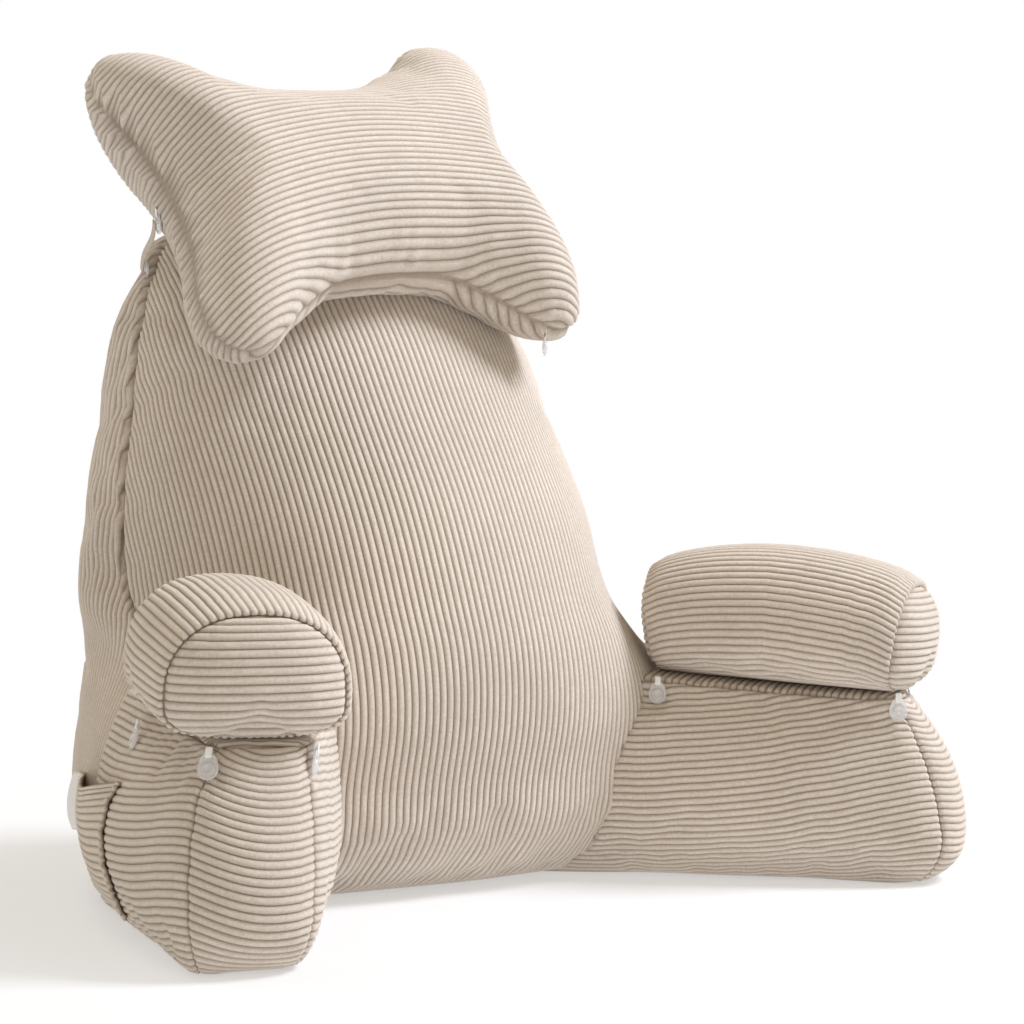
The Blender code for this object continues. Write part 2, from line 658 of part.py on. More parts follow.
def pocket(body, lower):
    """A patch pocket on the left arm's flank: one sheet that gapes at its top edge."""
    tree = surface_of(body, lower)
    inward = Vector((1.0, 0.12, 0.0)).normalized()
    outer_side, inner_side = [], []
    for j in range(POCKET_ROWS + 1):
        v = j / POCKET_ROWS
        starts, depths, stands = [], [], []
        for i in range(POCKET_STEPS + 1):
            u = i / POCKET_STEPS
            bow = POCKET_BOW * np.sin(np.pi * min(1.0, 1.25 * (1 - v)) ** 0.8) * (1 - u)
            rake = (POCKET_RAKE[0] * (1 - u) + POCKET_RAKE[1] * u) * (1 - v)
            y = POCKET_TOP[0] * (1 - u) + POCKET_TOP[1] * u + rake + bow
            mouth = POCKET_MOUTH[0] * (1 - u) + POCKET_MOUTH[1] * u
            z = POCKET_FOOT + (mouth - POCKET_FOOT) * v - POCKET_SAG * np.sin(np.pi * u) ** 2 * v
            starts.append(Vector((-0.6, y, z)))
            depths.append(tree.ray_cast(starts[-1], inward)[3])
            hold = min(1.0, 5.0 * u, 5.0 * (1 - u))
            stands.append(POCKET_GAPE * hold * v * np.sin(np.pi * u ** 0.75) ** 1.2)
        near, far = [], []
        for start, depth, stand in zip(starts, bridged(depths), stands):
            far.append(start + inward * (depth - 1.25 * POCKET_STAND - stand))
            near.append(far[-1] - inward * POCKET_SHEET)
        outer_side.append(near)
        inner_side.append(far)
    made = bmesh.new()
    near = [[made.verts.new(p) for p in row] for row in outer_side]
    far = [[made.verts.new(p) for p in row] for row in inner_side]
    for j in range(POCKET_ROWS):
        for i in range(POCKET_STEPS):
            made.faces.new((near[j][i], near[j][i + 1], near[j + 1][i + 1], near[j + 1][i]))
            made.faces.new((far[j][i], far[j + 1][i], far[j + 1][i + 1], far[j][i + 1]))
    for j in range(POCKET_ROWS):
        for i in (0, POCKET_STEPS):
            made.faces.new((near[j][i], near[j + 1][i], far[j + 1][i], far[j][i]))
    for i in range(POCKET_STEPS):
        for j in (0, POCKET_ROWS):
            made.faces.new((near[j][i], far[j][i], far[j][i + 1], near[j][i + 1]))
    back_edge = [0.5 * (near_row[-1] + far_row[-1])
                 for near_row, far_row in zip(outer_side, inner_side)]
    add_object("arm_pocket", made, "Corduroy")
    return back_edge[::-1]


def label(seam):
    """A bare care label, sewn in along the pocket's back edge and curling off the cover."""
    width, height = LABEL_SIZE
    away = Vector(LABEL_AWAY).normalized()
    edge_a, edge_b = [], []
    steps = 7
    for i in range(steps):
        t = i / (steps - 1)
        down = LABEL_DROP + height * t
        spot = min(range(len(seam) - 1), key=lambda k: abs(seam[0].z - seam[k].z - down))
        spot = max(0, spot - 1) if seam[0].z - seam[spot].z > down else spot
        low, high = seam[spot + 1], seam[spot]
        share = (seam[0].z - high.z - down) / (low.z - high.z)
        edge = high + (low - high) * share + away * (0.5 * LABEL_SHEET + PIECE_GAP)
        edge_a.append(edge)
        edge_b.append(edge + away * width + Vector((-LABEL_CURL * np.sin(np.pi * t), 0, 0)))
    return strip("care_label", edge_a, edge_b, LABEL_SHEET, "LabelTape")


# ---------------------------------------------------------------- assembly
def clear_scene():
    """Start from an empty scene."""
    for old in list(bpy.data.objects):
        bpy.data.objects.remove(old)


def move_origin():
    """Bring the plan middle of the whole pillow to the origin, on the floor."""
    for piece in bpy.data.objects:
        for vert in piece.data.vertices:
            vert.co.x -= ORIGIN[0]
            vert.co.y -= ORIGIN[1]


def main():
    clear_scene()
    body = backrest()
    lower = {}
    for side in ("left", "right"):
        lower[side] = arm(side)
        trim(lower[side], body)
        trim(pad(side), body)
        corner_clips(side, lower[side])
    pillow = head_pillow()
    trim(pillow, body)
    head_fastenings(pillow, body)
    label(pocket(body, lower["left"]))
    move_origin()


main()
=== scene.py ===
"""Reading pillow with arms: its corduroy cover, arm pads, head pillow, pocket and fastenings.

Metres, +Z up, the backrest's front faces -Y. Every cover panel is sampled along its own wales, so
that the ribs of the cloth are real relief: a coarse panel is filled by a cloth simulation, woven
into a fine grid whose columns follow the wales, sewn to its neighbours and raised into ribs.
"""
import math

import bmesh
import bpy
import numpy as np
from bpy.props import FloatProperty, FloatVectorProperty, IntProperty, PointerProperty
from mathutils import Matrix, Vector
from mathutils.bvhtree import BVHTree


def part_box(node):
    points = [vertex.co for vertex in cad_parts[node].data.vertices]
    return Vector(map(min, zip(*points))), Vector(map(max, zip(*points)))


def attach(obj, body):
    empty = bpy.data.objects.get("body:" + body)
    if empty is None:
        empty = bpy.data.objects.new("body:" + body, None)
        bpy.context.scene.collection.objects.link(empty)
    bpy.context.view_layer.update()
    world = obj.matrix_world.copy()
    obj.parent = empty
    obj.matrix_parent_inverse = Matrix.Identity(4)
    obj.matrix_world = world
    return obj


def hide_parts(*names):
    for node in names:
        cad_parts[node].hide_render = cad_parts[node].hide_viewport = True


bl_info = {
    "name": "Reading pillow with arms",
    "version": (1, 0, 0),
    "blender": (4, 5, 0),
    "location": "View3D > Sidebar > Reading pillow",
    "description": "Builds a corduroy reading pillow with arm pads and a head pillow",
    "category": "Object",
}

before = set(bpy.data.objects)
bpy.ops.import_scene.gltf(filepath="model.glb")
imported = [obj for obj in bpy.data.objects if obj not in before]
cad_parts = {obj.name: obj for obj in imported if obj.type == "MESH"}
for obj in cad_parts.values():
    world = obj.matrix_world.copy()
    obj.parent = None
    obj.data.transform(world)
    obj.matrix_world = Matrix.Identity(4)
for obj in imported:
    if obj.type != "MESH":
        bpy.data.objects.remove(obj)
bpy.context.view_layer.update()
BODY = "root"

# ---------------------------------------------------------------- forms of the filled pieces
ORIGIN = np.array((0.0063, 0.0388, 0.0))  # plan middle, measured from between the arm joins
FOOT_RADIUS = 0.050              # rounding of a filled edge just above the floor
FOOT_DRAW = 0.85                 # share of that radius by which the foot is drawn in
TOP_LEVEL = 0.590                # where the backrest's panels turn over into its top edge
TOP_LIFT = 0.0105
TOP_RIDGE = 0.085                # half length of that edge

BODY_COLUMNS = ("z", "half", "seam_y", "belly", "round", "rear_half", "rear_y")
BODY_LEVELS = (
    (0.000, 0.310, 0.048, 0.032, 1.50, 0.230, 0.262),
    (0.022, 0.322, 0.036, 0.050, 1.40, 0.238, 0.268),
    (0.050, 0.326, 0.030, 0.064, 1.40, 0.239, 0.274),
    (0.100, 0.320, 0.030, 0.072, 1.50, 0.239, 0.280),
    (0.150, 0.300, 0.040, 0.094, 1.05, 0.231, 0.284),
    (0.185, 0.272, 0.064, 0.120, 0.85, 0.224, 0.288),
    (0.215, 0.250, 0.110, 0.162, 0.64, 0.218, 0.290),
    (0.250, 0.241, 0.168, 0.208, 0.58, 0.212, 0.294),
    (0.330, 0.232, 0.202, 0.207, 0.56, 0.196, 0.302),
    (0.420, 0.214, 0.222, 0.170, 0.55, 0.178, 0.304),
    (0.500, 0.196, 0.236, 0.130, 0.55, 0.162, 0.298),
    (0.545, 0.180, 0.244, 0.098, 0.56, 0.148, 0.292),
    (0.575, 0.158, 0.252, 0.066, 0.60, 0.148, 0.286),
    (0.590, 0.128, 0.258, 0.040, 0.65, 0.120, 0.280),
)
BODY_REAR_BULGE = 0.022
GUSSET_BULGE = ((0.0, 0.006), (0.08, 0.008), (0.14, 0.009), (0.19, 0.016), (0.25, 0.029),
                (0.50, 0.026), (0.59, 0.008))
GUSSET_SIDES = {"left": 1.0, "right": 0.4}
BODY_SPINE = ((-0.16, 0.15), (0.16, 0.15))    # plan line towards which its foot is drawn in
BODY_INSIDE = np.array((0.0, 0.16, 0.25)) - ORIGIN
LIP_PITCH = 0.029                # distance between the tucks beside a gusset's front seam
LIP_HEIGHT = 0.0045
LIP_START = 0.17                 # height above the floor from which they stand up

ARM_HEIGHT = 0.165
ARM_RISE = 0.018
CROWN = 0.006
ARM_FRONT_LEAN = 0.042
ARM_RIB_SLANT = 0.10             # rise of an arm's ribs towards its front
ARM_CORNER = 0.011               # spread over which an arm's upright corners are rounded
ARM_ROOT = 0.45
ARM_JOIN = (0.149, 0.0)
ARM_INNER = {"left": (0.320, -0.251), "right": (0.350, -0.232)}
ARM_OUTER = {"left": (0.402, -0.220), "right": (0.414, -0.178)}
ARM_FLANK = (0.328, 0.040)
ARM_FILL = {"left": 0.25, "right": 1.0}
ARM_NOSE = {"left": 0.005, "right": 0.0}     # how far the front panel widens to each side
ARM_OUTER_FOOT = 0.5             # share of the foot's rounding that the outer side has
ARM_TOP_DRAW = {"left": 0.014, "right": 0.003}  # how far the outer top edge leans in
ARM_SIDES = ("inner", "front", "outer", "root")
ARM_COLUMNS = ("z", "inner", "outer", "front")
ARM_LEVELS = (
    (0.00, 0.008, 0.002, -0.004),
    (0.04, 0.014, 0.007, 0.002),
    (0.13, 0.023, 0.013, 0.010),
    (0.28, 0.030, 0.019, 0.015),
    (0.50, 0.031, 0.021, 0.018),
    (0.70, 0.025, 0.018, 0.016),
    (0.88, 0.011, 0.010, 0.008),
    (1.00, 0.000, 0.001, 0.001),
)

PAD_LENGTH = {"left": 0.232, "right": 0.229}
PAD_WIDTH = {"left": 0.136, "right": 0.134}
PAD_HEIGHT = {"left": 0.093, "right": 0.106}
PAD_TURN = {"left": 4.5, "right": 0.0}
PAD_SHIFT = {"left": -0.001, "right": 0.0}
PAD_NOSE = 0.006
PAD_WAIST = 0.31                 # share of its height at which a pad is widest
PAD_SWELL = 0.12
PAD_END_SIZE = 1.00              # width of the end panels beside the pad's
PAD_END_LOW = {"left": 0.97, "right": 0.86}  # their height beside the pad's
PAD_SHEAR = 0.15                 # how far the top of an end leans out over its bottom
PAD_END = (0.0195, 0.0120)       # how far the front and the rear end panels bulge
PAD_STEPS = 44                   # points round a pad
PAD_LIFT = 0.0012                # air kept between a pad's wales and the arm under it

HEAD_THICKNESS = 0.135
HEAD_LEAN = 38.0
HEAD_ROLL = 6.5
HEAD_CENTRE = (-0.038, 0.137, 0.614)
HEAD_WRAP = 0.35
HEAD_OUTLINE = (
    (0.000, 0.118, 0.000, 0.118),
    (0.060, 0.124, 0.060, 0.123),
    (0.118, 0.152, 0.112, 0.146),
    (0.166, 0.182, 0.152, 0.174),
    (0.208, 0.180, 0.186, 0.174),
    (0.221, 0.142, 0.198, 0.140),
    (0.200, 0.085, 0.186, 0.085),
    (0.182, 0.020, 0.180, 0.020),
    (0.184, -0.045, 0.188, -0.045),
    (0.194, -0.101, 0.206, -0.100),
    (0.193, -0.142, 0.207, -0.140),
    (0.171, -0.161, 0.186, -0.160),
    (0.138, -0.152, 0.150, -0.150),
    (0.095, -0.120, 0.106, -0.121),
    (0.050, -0.100, 0.054, -0.100),
)
HEAD_SPINE = 0.115               # half length of the line that its thickness is built round
HEAD_ARCH = (0.95, 0.50)         # how its ribs fall away to the left and to the right
HEAD_STEEP = 0.40                 # how much its ribs close up towards its edge
HEAD_EVEN = 0.026                # distance over which its ribs even out their spacing
HEAD_PROFILE = ((0.0, 0.0), (0.03, 0.20), (0.10, 0.43), (0.22, 0.66), (0.38, 0.84), (0.58, 0.95),
                (0.80, 1.0), (1.0, 1.0))

POCKET_THICK = 0.0012
POCKET_STAND = 0.0026
POCKET_TOP = (-0.065, 0.136)     # its mouth along Y, from the sewn front to the sewn back edge
POCKET_RAKE = (0.001, 0.046)
POCKET_BOW = 0.022
POCKET_FOOT = 0.016
POCKET_MOUTH = (0.124, 0.108)
POCKET_SAG = 0.006
POCKET_GAPE = 0.018
POCKET_HEM = 0.012               # distance of its hem's stitches from the mouth
POCKET_FRONT_STITCH = 0.0085     # distance of its front stitches from that edge
LABEL_SIZE = (0.015, 0.054)
LABEL_THICK = 0.0006
LABEL_CURL = 0.003
STRAP_WIDTH = 0.008
STRAP_THICK = 0.0012
STRAP_TAIL = 0.004
RIBBON_WIDTH = 0.0050
RIBBON_LENGTH = 0.0065
RIBBON_THICK = 0.0007

RIB_STEPS = (0.0, 0.13, 0.31, 0.5, 0.69, 0.87)      # columns across one rib, as shares of it
RIB_STEPS_PLAIN = (0.0, 0.2, 0.5, 0.8)
SEAM_ROWS = (0.0008, 0.0018, 0.0032, 0.0055)        # extra rows beside a seam that crosses the ribs
MERGE = 0.00012                  # points closer than this are joined
WAVES = 0.0006                   # height of the slow waves of a filled cover
SEAM_INSET = 0.0005              # gap in which an inset panel is joined to its seam
SEAM_TURN = 0.006                # distance in which a cover turns to its seam's direction
RIB_START = 0.0002               # distance from a seam at which ribs begin
# Where ribs have run out at the floor the material paints shade.
FOOT_FADE = 0.006                # height over which ribs run out at the floor
BODY_GAP = 0.0025                # least gap of pads and head pillow to the backrest
WHITE = (1.0, 1.0, 1.0, 1.0)
SLACK_BOX = 0.014                # how far a piece may stand proud of its node's box


# ---------------------------------------------------------------- sizes and colours
class ReadingPillowCloth(bpy.types.PropertyGroup):
    """Sizes of the corduroy and its seams."""
    wale_pitch: FloatProperty(name="Wale pitch", description="Width of one rib of the corduroy",
                              default=0.00646, unit="LENGTH", subtype="DISTANCE")
    wale_height: FloatProperty(name="Wale height", description="How far a rib stands up",
                               default=0.0017, unit="LENGTH", subtype="DISTANCE")
    wale_fullness: FloatProperty(name="Wale fullness", description="Low is a full, flat-topped rib",
                                 default=0.6, min=0.2, max=2.0)
    seam_depth: FloatProperty(name="Seam depth", description="How far a seam draws the cover in",
                              default=0.0024, unit="LENGTH", subtype="DISTANCE")
    seam_width: FloatProperty(name="Seam width", description="Half width of a seam's channel",
                              default=0.0024, unit="LENGTH", subtype="DISTANCE")
    seam_roll: FloatProperty(name="Seam roll", description="Rise of the cover beside a seam",
                             default=0.0005, unit="LENGTH", subtype="DISTANCE")
    seam_fade: FloatProperty(name="Seam fade", description="Distance in which ribs run out at a seam",
                             default=0.0016, unit="LENGTH", subtype="DISTANCE")
    pucker_height: FloatProperty(name="Pucker height", description="Height of tucks at a seam",
                                 default=0.0017, unit="LENGTH", subtype="DISTANCE")
    pucker_pitch: FloatProperty(name="Pucker pitch", description="Distance between tucks",
                                default=0.027, unit="LENGTH", subtype="DISTANCE")
    pucker_reach: FloatProperty(name="Pucker reach", description="How far a tuck runs off its seam",
                                default=0.019, unit="LENGTH", subtype="DISTANCE")
    row_step: FloatProperty(name="Row step", description="Distance of grid rows along the ribs",
                            default=0.0088, unit="LENGTH", subtype="DISTANCE")


class ReadingPillowFilling(bpy.types.PropertyGroup):
    """How the cloth simulation fills a piece."""
    pressure: FloatProperty(name="Pressure", description="Pressure of the filling", default=4.0)
    spare_cloth: FloatProperty(name="Spare cloth", description="Share by which the cover is larger",
                               default=0.012, subtype="FACTOR")
    most_swell: FloatProperty(name="Most swell", description="Farthest that a point may move",
                              default=0.006, unit="LENGTH", subtype="DISTANCE")
    steps: IntProperty(name="Steps", description="Frames of simulation", default=20, min=1)


class ReadingPillowColours(bpy.types.PropertyGroup):
    """Colours of the finishes."""
    pile: FloatVectorProperty(name="Pile", description="Colour of the ribs", subtype="COLOR",
                              size=3, default=(0.665, 0.585, 0.505))
    # Crown colour: partly worn pile, partly a painted highlight on the tops of the ribs.
    crown_wear_and_highlight: FloatVectorProperty(name="Rubbed pile", description="Colour where the pile is rubbed",
                                subtype="COLOR", size=3, default=(0.770, 0.700, 0.625))
    # Painted shade between the ribs, along the seams, at the floor and on the pocket's inner side.
    painted_groove_shade: FloatVectorProperty(name="Groove", description="Colour between two ribs",
                                subtype="COLOR", size=3, default=(0.290, 0.225, 0.175))
    tape: FloatVectorProperty(name="Tape", description="Colour of the label and the ribbons",
                              subtype="COLOR", size=3, default=(0.97, 0.97, 0.96))
    plastic: FloatVectorProperty(name="Plastic", description="Tint of the clear snap tabs",
                                 subtype="COLOR", size=3, default=(0.97, 0.98, 1.0))
    strap: FloatVectorProperty(name="Strap", description="Colour of the head pillow's strap",
                               subtype="COLOR", size=3, default=(0.56, 0.47, 0.38))
    thread: FloatVectorProperty(name="Thread", description="Colour of the sewing thread",
                                subtype="COLOR", size=3, default=(0.72, 0.64, 0.55))
    floor: FloatVectorProperty(name="Floor", description="Colour of the studio floor",
                               subtype="COLOR", size=3, default=(0.90, 0.90, 0.90))


class ReadingPillowStage(bpy.types.PropertyGroup):
    """Camera and lights."""
    camera_place: FloatVectorProperty(name="Camera", description="Where the camera stands",
                                      subtype="XYZ", unit="LENGTH", size=3,
                                      default=(-1.3727, -1.9807, 0.3776))
    camera_turn: FloatProperty(name="Turn", description="Camera's turn from straight ahead",
                               default=math.radians(36.0), unit="ROTATION", subtype="ANGLE")
    camera_drop: FloatProperty(name="Drop", description="How far the camera looks down",
                               default=math.radians(1.1), unit="ROTATION", subtype="ANGLE")
    camera_lens: FloatProperty(name="Lens", description="Focal length in millimetres",
                               default=95.66)
    key_power: FloatProperty(name="Key light", description="Power of the main soft light",
                             default=380.0, unit="POWER")
    fill_power: FloatProperty(name="Fill light", description="Power of the fill light",
                              default=1.5, unit="POWER")
    top_power: FloatProperty(name="Top power", description="Power of the light overhead",
                             default=16.0, unit="POWER")
    sky: FloatProperty(name="Sky", description="Strength of the light all round", default=0.48)


# ---------------------------------------------------------------- curves and grids
def level(table, names, name, at):
    """One column of a level table, smoothly interpolated at the given heights."""
    rows = np.array(table)
    x = rows[:, 0]
    y = rows[:, names.index(name)]
    slope = np.gradient(y, x)
    at = np.asarray(at, float)
    i = np.clip(np.searchsorted(x, at) - 1, 0, len(x) - 2)
    step = x[i + 1] - x[i]
    t = (at - x[i]) / step
    a = (2 * t ** 3 - 3 * t ** 2 + 1) * y[i] + (t ** 3 - 2 * t ** 2 + t) * step * slope[i]
    b = (3 * t ** 2 - 2 * t ** 3) * y[i + 1] + (t ** 3 - t ** 2) * step * slope[i + 1]
    return a + b


def smooth_loop(points, steps):
    """Points of a closed Catmull-Rom curve through the given ones."""
    points = np.array(points, float)
    t = np.linspace(0, 1, steps, endpoint=False)[None, :, None]
    p0, p1, p2, p3 = (np.roll(points, 1 - k, axis=0)[:, None, :] for k in range(4))
    made = 0.5 * (2 * p1 + (p2 - p0) * t + (2 * p0 - 5 * p1 + 4 * p2 - p3) * t * t
                  + (3 * p1 - p0 - 3 * p2 + p3) * t ** 3)
    return made.reshape(-1, points.shape[1])


def unit(vectors):
    """Vectors brought to length one."""
    return vectors / np.maximum(np.linalg.norm(vectors, axis=-1, keepdims=True), 1e-12)


def arc_length(points, axis=0):
    """Distances along a line of points, or along one axis of a grid of them."""
    steps = np.linalg.norm(np.diff(points, axis=axis), axis=-1)
    start = np.zeros_like(np.take(steps, [0], axis=axis))
    return np.concatenate((start, np.cumsum(steps, axis=axis)), axis=axis)


def between(at, places, rows):
    """Rows of numbers that belong to some places, interpolated at other ones."""
    return np.stack([np.interp(at, places, column) for column in rows.T], axis=1)


def towards(points, start, end, share):
    """Draw plan points in towards a middle line from start to end."""
    points = np.asarray(points, float)
    start, end = np.array(start, float), np.array(end, float)
    along = end - start
    t = np.clip((points - start) @ along / max(along @ along, 1e-12), 0, 1)
    return points + (start + t[..., None] * along - points) * share


def cubic_weights(t):
    """Catmull-Rom weights of the four neighbours of a point."""
    return (0.5 * (-t + 2 * t ** 2 - t ** 3), 0.5 * (2 - 5 * t ** 2 + 3 * t ** 3),
            0.5 * (t + 4 * t ** 2 - 3 * t ** 3), 0.5 * (t ** 3 - t ** 2))


def sampled(grid, u, v, loop=False):
    """Smooth points of a coarse grid at row u and column v, counted in grid steps."""
    rows, cols = grid.shape[:2]
    wide = np.concatenate((2 * grid[:1] - grid[1:2], grid, 2 * grid[-1:] - grid[-2:-1]), axis=0)
    if loop:
        wide = np.concatenate((wide[:, -2:-1], wide, wide[:, 1:2]), axis=1)
    else:
        wide = np.concatenate((2 * wide[:, :1] - wide[:, 1:2], wide,
                               2 * wide[:, -1:] - wide[:, -2:-1]), axis=1)
    u = np.clip(u, 0, rows - 1)
    v = np.mod(v, cols - 1) if loop else np.clip(v, 0, cols - 1)
    u, v = np.broadcast_arrays(u, v)
    i = np.minimum(u.astype(int), rows - 2)
    j = np.minimum(v.astype(int), cols - 2)
    across = cubic_weights(v - j)
    total = 0.0
    for a, along in enumerate(cubic_weights(u - i)):
        line = sum(across[b][..., None] * wide[i + a, j + b] for b in range(4))
        total = total + along[..., None] * line
    return total


def surface_normals(grid, u, v, middle, loop=False, step=0.2):
    """Outward normals of a coarse grid's smooth surface."""
    run = sampled(grid, u + step, v, loop) - sampled(grid, u - step, v, loop)
    side = sampled(grid, u, v + step, loop) - sampled(grid, u, v - step, loop)
    normal = unit(np.cross(run, side))
    spot = sampled(grid, u, v, loop)
    if np.sum(normal * (spot - middle)) < 0:
        normal = -normal
    return normal


def graded(length, step, start_seam=True, end_seam=True):
    """Distances along a panel: even steps, with extra ones beside its end seams."""
    count = max(2, int(round(length / step)))
    marks = list(np.linspace(0, length, count + 1))
    if start_seam:
        marks = [0.0] + list(SEAM_ROWS) + [m for m in marks if m > SEAM_ROWS[-1] + 0.4 * step]
    if end_seam:
        marks = [m for m in marks if m < length - SEAM_ROWS[-1] - 0.4 * step]
        marks += [length - d for d in reversed(SEAM_ROWS)] + [length]
    return np.array(marks)


def rows_along(line, step, start_seam=True, end_seam=True):
    """Row positions, in grid steps, that lie at graded distances along a line of grid points."""
    arc = arc_length(line)
    return np.interp(graded(arc[-1], step, start_seam, end_seam), arc, np.arange(len(line)))


def rib_marks(low, high, steps):
    """Rib positions between two ends, counted in ribs."""
    whole = np.arange(math.floor(low) - 1, math.ceil(high) + 1)
    marks = (whole[:, None] + np.array(steps)[None]).ravel()
    return np.concatenate(([low], marks[(marks > low) & (marks < high)], [high]))


def woven(grid, u, middle, pitch=None, count=None, anchor=0.5, loop=False, steps=RIB_STEPS,
          shift=None, span=None):
    """A panel's fine grid: rows at u, columns across its ribs, which run along the rows.

    The ribs have a constant pitch, counted from the anchor column, or else a whole count of them
    is spread evenly over the panel's width. shift moves them on by so many ribs in each row, and
    span is the range of ribs that panels with a common seam share.
    """
    cols = grid.shape[1]
    dense_v = np.linspace(0, cols - 1, 4 * (cols - 1) + 1)
    dense = sampled(grid, u[:, None], dense_v[None], loop)
    arc = arc_length(dense, 1)
    if count:
        ribs = count * arc / arc[:, -1:]
        ribs[:, -1] = count
    else:
        home = int(round(anchor * (len(dense_v) - 1)))
        ribs = (arc - arc[:, home:home + 1]) / pitch
    if shift is not None:
        ribs = ribs + shift[:, None]
    marks = rib_marks(*(span or (ribs[:, 0].min(), ribs[:, -1].max())), steps)
    low, high = ribs[:, :1], ribs[:, -1:]
    wale = np.clip(marks[None], low, high)
    snap = 0.07
    wale = np.where(wale - low < snap, low, np.where(high - wale < snap, high, wale))
    v = np.stack([np.interp(w, r, dense_v) for w, r in zip(wale, ribs)])
    spread = np.stack([np.interp(w, dense_v, a) for w, a in zip(v, arc)])
    uu = np.broadcast_to(u[:, None], v.shape)
    co = sampled(grid, uu, v, loop)
    along = arc_length(co)
    return {
        "co": co, "normal": surface_normals(grid, uu, v, middle, loop), "wale": wale, "v": v,
        "left": spread, "right": arc[:, -1:] - spread, "low": along,
        "high": np.maximum(along[-1:] - along, 0.0), "across": spread,
        "at_left": wale <= low + 1e-9, "at_right": wale >= high - 1e-9,
    }


BORDERS = {"left": (slice(None), 0), "right": (slice(None), -1),
           "low": (0, slice(None)), "high": (-1, slice(None))}


def turned(normal, way, distance):
    """Normals brought to a seam's own direction close to it."""
    weight = np.exp(-(distance / SEAM_TURN) ** 2)[..., None]
    return unit(normal * (1 - weight) + way * weight)


def seam_direction(places, ways):
    """A function that gives a seam's direction at places along it."""
    def direction(at):
        return unit(between(at, places, ways))
    return direction


def sew(panel_a, side_a, panel_b, side_b):
    """Give two panels one common direction along the seam that they share."""
    first, second = BORDERS[side_a], BORDERS[side_b]
    shared = unit(panel_a["normal"][first] + panel_b["normal"][second])
    spot = 0.5 * (panel_a["co"][first] + panel_b["co"][second])
    for panel, side in ((panel_a, side_a), (panel_b, side_b)):
        line = shared[None] if side in ("low", "high") else shared[:, None]
        panel["normal"] = turned(panel["normal"], line, panel[side])
        panel.setdefault("seams", []).append((side, spot))


def ripple(along, pitch, seed):
    """Uneven tucks along a seam, from -1 in their creases to 1 on their crowns."""
    x = along / pitch + 0.33 * np.sin(1.9 * along / pitch + seed) + 0.37 * seed
    strength = 0.62 + 0.38 * np.sin(2.3 * along / pitch + 1.7 * seed)
    return strength * (2 * np.abs(np.sin(np.pi * x)) ** 0.7 - 1)


def unevenness(co, seed=0.0):
    """Slow waves of a hand-filled cover, about -1 to 1."""
    x, y, z = co[..., 0], co[..., 1], co[..., 2]
    return (0.40 * np.sin(47 * x + 29 * y + 11 * z + seed) + 0.35 * np.sin(-31 * x + 53 * z + 2 * seed)
            + 0.25 * np.sin(71 * y - 37 * z + 23 * x + 3 * seed))


def smoothstep(x):
    """Smooth rise from 0 to 1."""
    x = np.clip(x, 0.0, 1.0)
    return x * x * (3 - 2 * x)


def lips(distance, along):
    """Small overlapping tucks that stand up beside a gathered seam."""
    turn = np.mod(along / LIP_PITCH + 0.22 * np.sin(along / 0.043), 1.0)
    size = 0.7 + 0.3 * np.sin(along / 0.067 + 1.0)
    shape = smoothstep(turn / 0.7) * (1.0 - smoothstep((turn - 0.8) / 0.18)) * size
    return (LIP_HEIGHT * shape * smoothstep(distance / 0.002)
            * np.exp(-((distance - 0.0036) / 0.0032) ** 2))


def seam_shape(distance, along, cloth, seed, depth=1.0, tucks=1.0):
    """How far the cover stands off its smooth form beside a seam."""
    dip = -depth * cloth.seam_depth * np.exp(-(distance / cloth.seam_width) ** 2)
    roll = cloth.seam_roll * np.exp(-((distance - 2.3 * cloth.seam_width)
                                      / (1.3 * cloth.seam_width)) ** 2)
    reach = cloth.pucker_reach * (1.0 + 0.35 * np.sin(along / 0.041 + seed))
    tuck = (tucks * cloth.pucker_height * ripple(along, cloth.pucker_pitch, seed)
            * np.exp(-distance / reach) * (1 - np.exp(-(distance / 0.004) ** 2)))
    return dip + roll + tuck


def dress(panel, cloth, seed, left=None, right=None, low=None, high=None):
    """Shape a woven panel beside its seams. A seam is (depth, tucks), None where there is none."""
    seams = {"left": left, "right": right, "low": low, "high": high}
    offset = WAVES * unevenness(panel["co"], seed)
    fade = np.ones(offset.shape)
    for side, phase in (("left", 0.0), ("right", 1.3), ("low", 2.1), ("high", 3.7)):
        if seams[side] is None:
            continue
        along = panel["low"] if side in ("left", "right") else panel["across"]
        offset = offset + seam_shape(panel[side], along, cloth, seed + phase, *seams[side])
        fade = fade * smoothstep((panel[side] - RIB_START) / cloth.seam_fade)
    panel["co"] = panel["co"] + panel["normal"] * offset[..., None]
    panel["fade"] = fade
    for side, spot in panel.get("seams", ()):
        border = BORDERS[side]
        deep = (seams[side] or (1.0, 1.0))[0]
        sunk = spot - panel["normal"][border] * cloth.seam_depth * deep
        if side in ("low", "high"):
            panel["co"][border] = sunk
        else:
            mask = panel["at_" + side]
            panel["co"] = np.where(mask[..., None], sunk[:, None], panel["co"])


